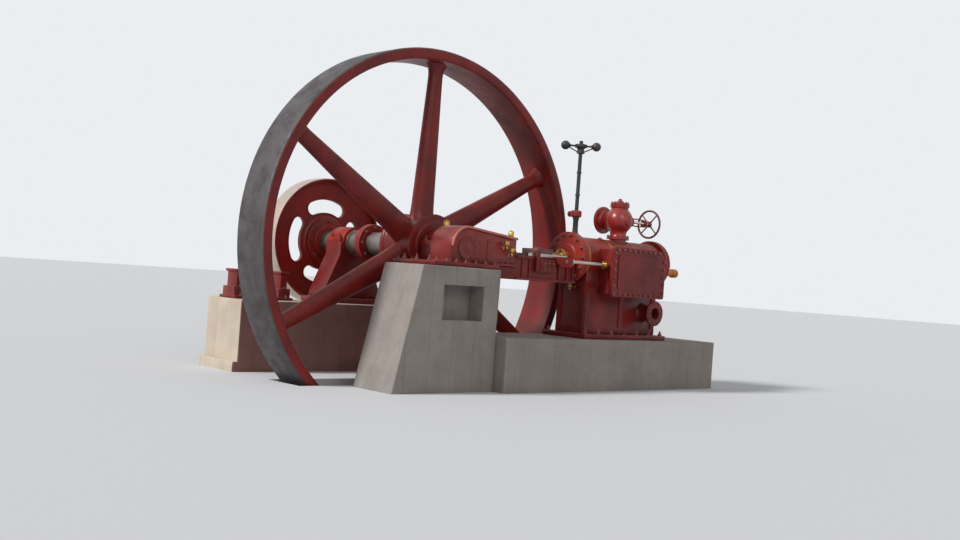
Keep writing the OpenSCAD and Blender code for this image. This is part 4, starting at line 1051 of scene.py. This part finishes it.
def makeCylinder():
    plan = cylinderPlan
    low, high, _ = span("steam_cylinder")
    radius, body, flange, edge = (high.y - low.y) / 2, plan["body"], plan["flange"], plan["edge"]
    length, inner = high.x - low.x, plan["body"] - plan["sheet"]
    place = alongX(low.x, 0, axisZ)
    half = [(0, 0), (radius - edge, 0), (radius, edge), (radius, flange - edge), (radius - edge, flange),
            (inner, flange + 0.002), (inner, flange + 0.012), (body, flange + 0.014)]
    bm = bmesh.new()
    addLathe(bm, mirrored(half, length / 2), place, 96)
    start, run = flange + plan["bandInset"], length - 2 * (flange + plan["bandInset"])
    wide, out = plan["bandWidth"] / 2, body + plan["bandHeight"]
    for i in range(plan["bands"]):
        z = start + run * i / (plan["bands"] - 1)
        addLathe(bm, mirrored([(inner, z - wide), (out - 0.002, z - wide), (out, z - wide + 0.003)], z), place, 96,
                 closed=True, finish=1)
        x, lug, top = low.x + z, wide * 0.8, axisZ + out
        addBox(bm, (x - lug, -0.02, top - 0.004), (x + lug, 0.02, top + 0.012), 0.003, 1)
    piece("cylinderLagging", bm, [brightRed, bandBrass], ["steam_cylinder"])
    front, frontEnd, _ = span("front_cylinder_head")
    back, backEnd, _ = span("back_cylinder_head")
    thick, total = frontEnd.x - front.x, backEnd.x - back.x
    bm = bmesh.new()
    addLathe(bm, [(0, 0), (0.15, 0), (0.16, 0.01), (radius, 0.01), (radius, thick), (0, thick)],
             alongX(front.x, 0, axisZ), 96, soft=0.005)
    piece("frontHead", bm, [brightRed], ["front_cylinder_head"])
    bm = bmesh.new()
    addLathe(bm, [(0, 0), (radius, 0), (radius, thick - 0.006), (0.2, thick - 0.006), (0.18, thick + 0.002),
                  (0.165, thick + 0.03), (0.15, total), (0.12, total), (0.11, total - 0.008), (0, total - 0.008)],
             alongX(back.x, 0, axisZ), 96, soft=0.006)
    piece("backHead", bm, [brightRed], ["back_cylinder_head"])
    places = (backX(front.x + 0.01, 0, axisZ), alongX(back.x + thick - 0.006, 0, axisZ))
    studPiece("headNuts", [ringRow(radius - 0.034, place, plan["headBolts"], plan["nut"], 0.016, 35 + i)
                           for i, place in enumerate(places)])


def makeStand():  # a raised frame on each side: two rails with stiles between them, a little lower
    plan = standPlan
    low, high, mid = span("cylinder_stand")
    (x0, x1), half, rise = plan["x"], plan["half"], plan["rise"]
    foot, top = low.z + plan["foot"], axisZ - plan["drop"]
    rails = ((foot + 0.01, foot + 0.075), (top - 0.06, top))
    bm = bmesh.new()
    castCopy(bm, "cylinder_stand", 0.012)
    for side in (-1, 1):
        end = (x0, x1)[side > 0]
        for z0, z1 in rails:
            y = outwardFrom(side * half, side, rise)
            addBox(bm, (x0 + 0.01, y[0], z0), (x1 - 0.01, y[1], z1), 0.005)
            x = outwardFrom(end, side, rise)
            addBox(bm, (x[0], 0.01 - half, z0), (x[1], half - 0.01, z1), 0.005)
        z0, z1 = foot + 0.05, top - 0.04
        y, x = outwardFrom(side * half, side, rise - 0.002), outwardFrom(end, side, rise - 0.002)
        for a, b in ((x0 + 0.01, x0 + 0.08), (x1 - 0.08, x1 - 0.01), (mid.x - 0.035, mid.x + 0.035)):
            addBox(bm, (a, y[0], z0), (b, y[1], z1), 0.005)
        for a, b in ((0.01 - half, 0.07 - half), (half - 0.07, half - 0.01)):
            addBox(bm, (x[0], a, z0), (x[1], b, z1), 0.005)
    piece("standCasting", bm, [castRed], ["cylinder_stand"])
    ends = low.x + 0.05, high.x - 0.05
    studPiece("standNuts", [levelRow(ends[0], y, ends[1], y, foot, 7, plan["nut"], 0.03, 40 + i)
                            for i, y in enumerate((0.045 - high.y, high.y - 0.045))])


def rectangle(width, height, corner):
    w, h = width / 2, height / 2
    return softCorners([(-w, -h), (w, -h), (w, h), (-w, h)], corner, 4, closed=True)


def makeChest():
    plan = chestPlan
    low, high, mid = span("steam_chest_cover")
    width, height = high.x - low.x, high.z - low.z
    face, outline = towardNear(mid.x, high.y, mid.z), rectangle(width, height, plan["corner"])
    bm = bmesh.new()
    castCopy(bm, "steam_chest", 0.01)
    addPrism(bm, outline, lifted(face, -0.026), 0.0255, 0.004)
    piece("chestCasting", bm, [castRed], ["steam_chest"])
    bm = bmesh.new()
    addPrism(bm, outline, face, plan["plate"], 0.004)
    inset = 2 * plan["panelInset"]
    addPrism(bm, rectangle(width - inset, height - inset, 0.05), face, plan["panel"], 0.008)
    piece("chestCover", bm, [castRed], ["steam_chest_cover"])
    w, h = width / 2 - 0.031, height / 2 - 0.031
    studPiece("chestNuts", [StudRow([(-w, -h, 0), (w, -h, 0), (w, h, 0), (-w, h, 0)], lifted(face, plan["plate"]),
                                    plan["studs"], plan["nut"], reach=0.005, seed=45)])


def makeSpindle():
    y, z, r = spindlePlan["y"], spindlePlan["z"], spindlePlan["radius"]
    low, high, _ = span("valve_rod")
    length, bore = high.x - low.x, r + 0.0005
    bm = bmesh.new()
    addLathe(bm, [(0, 0), (r - 0.003, 0), (r, 0.003), (r, length), (0, length)], alongX(low.x, y, z), 32)
    addLathe(bm, [(bore, 0), (0.046, 0), (0.046, 0.018), (0.034, 0.022), (0.034, 0.07), (bore, 0.07)],
             alongX(span("steam_chest")[0].x - 0.07, y, z), 40, closed=True, finish=1)
    addPrism(bm, hexagon(0.034), alongX(low.x + 0.075, y, z), 0.024, 0.003)
    addBox(bm, (low.x + 0.004, y - 0.04, low.z), (low.x + 0.066, -0.17, high.z), 0.01, 2)
    addLathe(bm, [(r, 0), (0.038, 0), (0.038, 0.07), (r, 0.07)], alongX(low.x, y, z), 40, closed=True, finish=2)
    piece("valveSpindle", bm, [rodSteel, brassMetal, castRed], ["valve_rod"])


def drilled(bm, place, holes, circle, radius, start, end):  # the mesh with a ring of bolt holes
    cutter = bmesh.new()
    for i in range(holes):
        turn = place @ Matrix.Rotation((i + 0.5) * 2 * math.pi / holes, 4, "Z")
        addLathe(cutter, [(0, start), (radius, start), (radius, end), (0, end)],
                 turn @ Matrix.Translation((circle, 0, 0)), 20)
    return cutOut(meshFrom(bm), cutter)


def makeExhaust():
    plan = exhaustPlan
    low, high, mid = span("exhaust_elbow")
    place = towardNear(mid.x, high.y, low.z + (high.z - low.z) / 2)
    bm = bmesh.new()
    addLathe(bm, mm((0, 51), (70, 51), (70, 200), (144, 200), (150, 194), (150, 174), (145, 170), (108, 168), (96, 150),
                    (94, 40), (104, 12), (125, -4), (0, -4)), place, 64)
    piece("exhaustBranch", drilled(bm, place, plan["holes"], plan["circle"], plan["hole"], 0.15, 0.22), [castRed],
          ["exhaust_elbow"])


# Small fittings on the cylinder

fittingPlan = {"reliefOut": 0.055, "reliefUp": 0.04, "tailDrop": 0.08, "drainDrop": 0.37, "drainInset": 0.026}
reliefBody = mm((0, 46), (28, 46), (30, 56), (46, 60), (48, 64), (48, 100), (43, 107), (40, 112), (26, 126), (18, 130),
                (18, 137), (14, 140), (0, 140))
drainBody = mm((0, 0), (12, 0), (16, 4), (16, 14), (11, 18), (11, 26), (20, 30), (20, 52), (12, 56), (12, 90),
               (20, 94), (20, 112), (14, 116), (14, 130), (0, 130))
drainTap = mm((0, -26), (12, -26), (16, -22), (18, 18), (12, 24), (6, 28), (6, 50), (8, 60), (9, 80), (7, 92), (0, 95))


def makeFittings():
    plan, back = fittingPlan, span("back_cylinder_head")[1].x
    place = upright(back + plan["reliefOut"], 0, axisZ + plan["reliefUp"])
    bm = bmesh.new()
    addLathe(bm, mm((0, 0), (18, 0), (18, 12), (20, 14), (20, 55), (0, 55)),
             alongX(back - 0.009, 0, axisZ + plan["reliefUp"] + 0.028), 32)
    addPrism(bm, hexagon(0.034), place, 0.05, 0.004)
    addLathe(bm, reliefBody, place, 40)
    piece("reliefValve", bm, [brassMetal], ["relief_valve"])
    low, high, _ = span("tail_gland")
    far = high.x - low.x
    bm = bmesh.new()
    addLathe(bm, mm((0, -9), (62, -9), (62, 20), (50, 30), (50, 70), (40, 76)) + [
        (0.038, far - 0.1), (0.055, far - 0.09), (0.055, far - 0.012), (0.046, far - 0.004), (0.02, far), (0, far)],
        alongX(low.x, 0, axisZ - plan["tailDrop"]), 48, soft=0.004)
    piece("tailSleeve", bm, [bandBrass], ["tail_gland"])
    low, high, _ = span("drain_cocks")
    z = axisZ - plan["drainDrop"]
    bm = bmesh.new()
    for x in (low.x + plan["drainInset"], high.x - plan["drainInset"]):
        addLathe(bm, drainBody, upright(x, 0, z), 32)
        addLathe(bm, drainTap, towardNear(x, 0, z + 0.04), 24)
    piece("drainTaps", bm, [brassMetal], ["drain_cocks"])


# Throttle valve, its yoke and hand wheel

valvePlan = {"seat": 0.266, "footHeight": 0.032, "globe": 0.165, "inletHoles": 8, "inletHole": 0.011,
             "inletCircle": 0.137, "footNuts": (0.1185, 8, 0.0145), "bonnetNuts": (0.095, 8, 0.0135),
             "yokeNuts": (0.05, 4, 0.009), "threads": 30}
inletProfile = mm((0, 50), (120, 70), (124, 110), (112, 142), (100, 165), (96, 190), (99, 215), (112, 232), (160, 235),
                  (165, 240), (165, 262), (160, 267), (86, 267), (84, 264), (62.5, 264), (62.5, 115), (0, 115))
stemProfile = mm((0, 100), (95, 118), (78, 148), (68, 165), (64, 180), (62, 195), (0, 195))
plugProfile = mm((0, 120), (75, 145), (66, 156), (66, 164), (60, 170), (30, 170), (24, 174), (0, 174))
bonnetProfile = mm((0, 0), (112, 0), (116, 4), (116, 22), (112, 26), (70, 27), (60, 32), (52, 46), (40, 55), (34, 60),
                   (26, 60), (22, 64), (22, 78), (17, 84), (0, 84))
yokeFlange = mm((0, 0), (58, 0), (62, 4), (62, 18), (58, 22), (30, 24), (26, 50), (19, 56), (0, 56))


def makeValveBody(plan, x, z):
    foot = axisZ + plan["seat"] - z
    top, r, place = foot + plan["footHeight"], plan["globe"], upright(x, 0, z)
    globe = [(r * math.cos(a), r * math.sin(a)) for a in (math.radians(-46 + 4 * i) for i in range(24))]
    bm = bmesh.new()
    addLathe(bm, [(0, foot - 0.05), (0.1, foot - 0.05), (0.1, foot), (0.13, foot), (0.135, foot + 0.005),
                  (0.135, top - 0.005), (0.13, top), (0.108, top), (0.1, top + 0.012), (0.097, top + 0.032),
                  (0.101, top + 0.06), *globe, *mm((102, 142), (104, 152), (112, 154), (116, 158), (116, 177),
                                                   (0, 177))], place, 80)
    addLathe(bm, inletProfile, alongY(x, 0, z), 80)
    addLathe(bm, stemProfile, alongX(x, 0, z), 56)
    addLathe(bm, plugProfile, towardNear(x, 0, z), 48)
    piece("throttleGlobe", drilled(bm, alongY(x, 0, z), plan["inletHoles"], plan["inletCircle"], plan["inletHole"],
                                   0.2, 0.3), [valveRed], ["throttle_valve_body"])
    bm = bmesh.new()
    addLathe(bm, bonnetProfile, upright(x, 0, span("throttle_bonnet")[0].z), 64)
    piece("throttleBonnet", bm, [valveRed], ["throttle_bonnet"])
    rows = ((plan["footNuts"], z + top, 0.012), (plan["bonnetNuts"], z + 0.203, 0.01))
    return [ringRow(radius, upright(x, 0, height), count, nut, reach, 50 + i)
            for i, ((radius, count, nut), height, reach) in enumerate(rows)]


def makeYoke(plan, start, z, nutX):
    place = alongX(start, 0, z)
    bm = bmesh.new()
    addLathe(bm, yokeFlange, place, 56)
    for side in (-1, 1):
        bows = [(i / 8, side * (0.036 + 0.008 * math.sin(math.pi * i / 8))) for i in range(9)]
        addLoft(bm, [[(0.011 * math.cos(a), y + 0.008 * math.sin(a), 0.014 + 0.262 * t) for a in around(16)]
                     for t, y in bows], place)
    addLathe(bm, mm((17.5, 262), (46, 262), (46, 288), (34, 296), (17.5, 296)), place, 48, closed=True, soft=0.004)
    steps = 2 * plan["threads"]
    thread = [(0.0155 if i % 2 else 0.0125, 0.058 + 0.205 * i / steps) for i in range(steps + 1)]
    addLathe(bm, [(0, 0.05), (0.0125, 0.05), *thread, (0.017, 0.27), (0.017, 0.396), (0.014, 0.405), (0, 0.405)],
             place, 32, finish=1)
    addPrism(bm, hexagon(0.026), lifted(place, nutX - start + 0.0015), 0.009, 0.002, 1)
    piece("throttleYoke", bm, [castRed, rodSteel], ["throttle_yoke"])
    radius, count, nut = plan["yokeNuts"]
    return ringRow(radius, alongX(start + 0.022, 0, z), count, nut, 0.006, 52, math.pi / 4)


def makeHandwheel(low, high, z):
    tube = (high.x - low.x) / 2
    ring = (high.y - low.y) / 2 - tube
    place = alongX(low.x, 0, z)
    bm = bmesh.new()
    circle = [(ring + tube * math.cos(a), tube + tube * math.sin(a)) for a in around(16)]
    addLathe(bm, circle, place, 80, closed=True)
    addLathe(bm, [(0.0178, 0), (0.038, 0), (0.038, 2 * tube), (0.0178, 2 * tube)], place, 48, closed=True, soft=0.004)
    for i in range(4):
        turn = place @ Matrix.Rotation((i + 0.5) * math.pi / 2, 4, "Z") @ Matrix.Translation((0, 0, tube))
        spokes = [(s / 10, 0.004 * (2 * s / 10 - 1) ** 4) for s in range(11)]  # share of length, flare
        addLoft(bm, [ovalRing(0.032 + (ring - 0.03) * t, 0.010 - 0.002 * t + flare, 0.0075 + flare * 0.6, 16)
                     for t, flare in spokes], turn)
    piece("throttleWheel", bm, [wheelRed], ["throttle_handwheel"], body="throttle_wheel")


def makeThrottle():
    low, high, mid = span("throttle_handwheel")
    rows = makeValveBody(valvePlan, span("throttle_bonnet")[2].x, mid.z)
    rows.append(makeYoke(valvePlan, span("throttle_yoke")[0].x, mid.z, high.x))
    makeHandwheel(low, high, mid.z)
    studPiece("throttleNuts", rows)


# Governor: column, collar with the side shaft's boss, and the turning head

governorPlan = {"armRadius": 0.0125, "linkRadius": 0.007, "sides": 16, "collars": (0.72, 0.98), "bossUp": 0.04}
columnFoot = mm((0, 200), (46, 200), (46, 276), (42, 284), (36, 290), (33, 304), (31, 330), (31, 438), (34, 446),
                (37, 450), (37, 470), (22, 470.5))
collarRing = mm((22.2, 0), (50, 0), (62, 12), (62, 68), (50, 80), (22.2, 80))
collarBoss = mm((0, -40), (30, -40), (34, -30), (34, 86), (30, 90), (30, 96), (34, 100), (34, 110), (0, 110))
sleeveFoot = mm((22.7, 0), (46, 0), (46, 16), (40, 20), (40, 52), (50, 66), (72, 72))


def addRod(bm, start, end, radius, sides, middle=1.0):
    start, end = Vector(start), Vector(end)
    length = (end - start).length
    addLathe(bm, [(0, 0), (radius, 0), (radius * middle, length * 0.5), (radius, length), (0, length)],
             frameAt(start, end - start, (0, 1, 0)), sides)


def makeColumn(plan, x):
    top = span("governor_column")[1].z - axisZ
    bm = bmesh.new()
    addLathe(bm, columnFoot + [(0.022, top - 0.006), (0.017, top), (0, top)], upright(x, 0, axisZ), 40)
    for z in plan["collars"]:
        addLathe(bm, [(0.0215, z), (0.028, z), (0.028, z + 0.022), (0.0215, z + 0.022)], upright(x, 0, axisZ), 32,
                 closed=True, soft=0.003)
    piece("governorColumn", bm, [blackIron], ["governor_column"])
    z = span("governor_collar")[0].z
    boss = alongY(x, 0, z + plan["bossUp"])
    bm = bmesh.new()
    addLathe(bm, collarRing, upright(x, 0, z), 48, closed=True, soft=0.005)
    addLathe(bm, collarBoss, boss, 40, soft=0.002)
    addLathe(bm, mm((0, 100), (14, 100), (14, 109), (0, 109.5)), boss, 24, finish=1)
    piece("governorCollar", bm, [brightRed, rodSteel], ["governor_collar"])


def makeGovernor():
    plan = governorPlan
    low, high, mid = span("governor_sleeve")
    x, top = mid.x, high.z - low.z
    makeColumn(plan, x)
    spider = bmesh.new()
    addLathe(spider, sleeveFoot + [(0.072, top - 0.006), (0.06, top), (0.0227, top)], upright(x, 0, low.z), 48,
             closed=True, soft=0.004)
    ballLow, ballHigh, ball = span("governor_balls")
    r = (ballHigh.z - ballLow.z) / 2
    reachX, reachY = (ballHigh.x - ballLow.x) / 2 - r, (ballHigh.y - ballLow.y) / 2 - r
    reach = math.hypot(reachX, reachY)
    turn = Matrix.Translation((x, 0, 0)) @ Matrix.Rotation(-math.atan2(reachY, reachX), 4, "Z")
    turn = turn @ Matrix.Translation((-x, 0, 0))
    profile = [(0, -r)] + [(r * math.cos(a), r * math.sin(a)) for a in (math.radians(-84 + 7 * i) for i in range(25))]
    profile.append((0, r))
    balls = bmesh.new()
    for side in (-1, 1):
        far = x + side * reach
        addRod(spider, (x + side * 0.05, 0, ball.z), (far - side * r * 0.8, 0, ball.z), plan["armRadius"],
               plan["sides"], 0.85)
        addRod(spider, (x + side * 0.036, 0, low.z + 0.02), (far - side * r * 0.7, 0, ball.z - 0.018),
               plan["linkRadius"], plan["sides"])
        addLathe(balls, profile, alongX(far, 0, ball.z), 48)
        addLathe(balls, [(0, r * 0.8), (0.022, r * 0.8), (0.022, r + 0.006), (0, r + 0.006)],
                 frameAt((far, 0, ball.z), (-side, 0, 0), (0, 1, 0)), 24, soft=0.002)
    for name, bm, node in (("governorSpider", spider, "governor_sleeve"), ("governorBalls", balls, "governor_balls")):
        bmesh.ops.transform(bm, matrix=turn, verts=bm.verts)
        piece(name, bm, [blackIron], [node], body="governor_head")


cradlePlan = {"edge": 0.024, "plate": 0.03, "plateNut": 0.016, "foot": 0.13, "footNut": 0.014}


def makeCradle():
    plan = cradlePlan
    castPiece("cradleCasting", "block_cradle", castRed, 0.006)
    low, high, _ = span("block_cradle")
    rows = [levelRow(low.x + 0.08, y, high.x - 0.08, y, low.z + plan["plate"], 4, plan["plateNut"], 0.02, 60 + i)
            for i, y in enumerate((low.y + plan["edge"], high.y - plan["edge"]))]
    for x in (low.x + 0.09, high.x - 0.09):  # one nut stands on each corner of the feet
        rows += [levelRow(x, y, x + 0.001, y, low.z + plan["foot"], 1, plan["footNut"], 0.01, 64)
                 for y in (low.y + 0.065, high.y - 0.065)]
    studPiece("cradleNuts", rows)


makeGirder()
makeCylinder()
makeStand()
makeChest()
makeSpindle()
makeExhaust()
makeFittings()
makeThrottle()
makeGovernor()
makeCradle()
print("engine fittings are made")


def dress(node, finish):  # a CAD node that stays takes a better finish
    obj = frame["nodes"][node]
    if not obj.material_slots:
        obj.data.materials.append(finish)
    for slot in obj.material_slots:
        slot.material = finish


for node in ("slide_bar_near", "slide_bar_far", "piston_rod"):
    dress(node, rodSteel)

# Stage: pale floor at ground level with the wheel's pit, soft sky and two soft suns

stagePlan = {
    "pit": (-1.62, 0.452, 1.62, 1.03), "pitFloor": -0.003, "reach": 90.0, "ambient": 0.36,
    "background": (0.83, 0.85, 0.88),
    "key": (-0.80, 0.16, 0.58), "keyPower": 3.0, "keySpread": 8.0,
    "fill": (-0.35, -0.85, 0.5), "fillPower": 0.5, "fillSpread": 25.0,
}


def makeStage(plan):
    x0, y0, x1, y1 = plan["pit"]
    far, top, deep = plan["reach"], groundZ, plan["pitFloor"]
    bm = bmesh.new()
    xs, ys = (-far, x0, x1, far), (-far, y0, y1, far)
    grid = [[bm.verts.new((x, y, top)) for y in ys] for x in xs]
    for i in range(3):
        for j in range(3):
            if (i, j) != (1, 1):
                bm.faces.new([grid[i][j], grid[i + 1][j], grid[i + 1][j + 1], grid[i][j + 1]])
    rim = [grid[1][1], grid[2][1], grid[2][2], grid[1][2]]
    foot = [bm.verts.new((v.co.x, v.co.y, deep)) for v in rim]
    for i in range(4):
        bm.faces.new([rim[i], rim[(i + 1) % 4], foot[(i + 1) % 4], foot[i]])
    bm.faces.new(foot)
    mesh = bpy.data.meshes.new("studioFloor")
    bm.to_mesh(mesh)
    bm.free()
    floor = bpy.data.objects.new("studioFloor", mesh)
    scene.collection.objects.link(floor)
    material = bpy.data.materials.new("studioFloor")
    material.use_nodes = True
    shader = material.node_tree.nodes["Principled BSDF"]
    shader.inputs["Base Color"].default_value = tone(205, 206, 208)
    shader.inputs["Roughness"].default_value = 0.9
    mesh.materials.append(material)


def makeSun(name, direction, power, spread):
    data = bpy.data.lights.new(name, "SUN")
    data.energy = power
    data.angle = math.radians(spread)
    sun = bpy.data.objects.new(name, data)
    sun.rotation_euler = Vector(direction).to_track_quat("Z", "Y").to_euler()
    scene.collection.objects.link(sun)


def makeSky(plan):
    world = bpy.data.worlds.new("sky")
    scene.world = world
    world.use_nodes = True
    net = Net(world.node_tree)
    net.tree.nodes.clear()
    rays = net.new("ShaderNodeLightPath").outputs
    seen = net.math("MAXIMUM", net.math("MAXIMUM", rays["Is Camera Ray"], rays["Is Glossy Ray"]),
                    rays["Is Transmission Ray"])
    strength = net.ramp(seen, 0, 1, plan["ambient"], 1.0)
    colour = net.mix(seen, (1, 1, 1, 1), (*plan["background"], 1))
    back = net.node("ShaderNodeBackground", {"Color": colour, "Strength": strength})
    out = net.new("ShaderNodeOutputWorld")
    net.link(back.outputs["Background"], out.inputs["Surface"])


makeStage(stagePlan)
makeSky(stagePlan)
makeSun("keySun", stagePlan["key"], stagePlan["keyPower"], stagePlan["keySpread"])
makeSun("fillSun", stagePlan["fill"], stagePlan["fillPower"], stagePlan["fillSpread"])
print("stage and light are set")
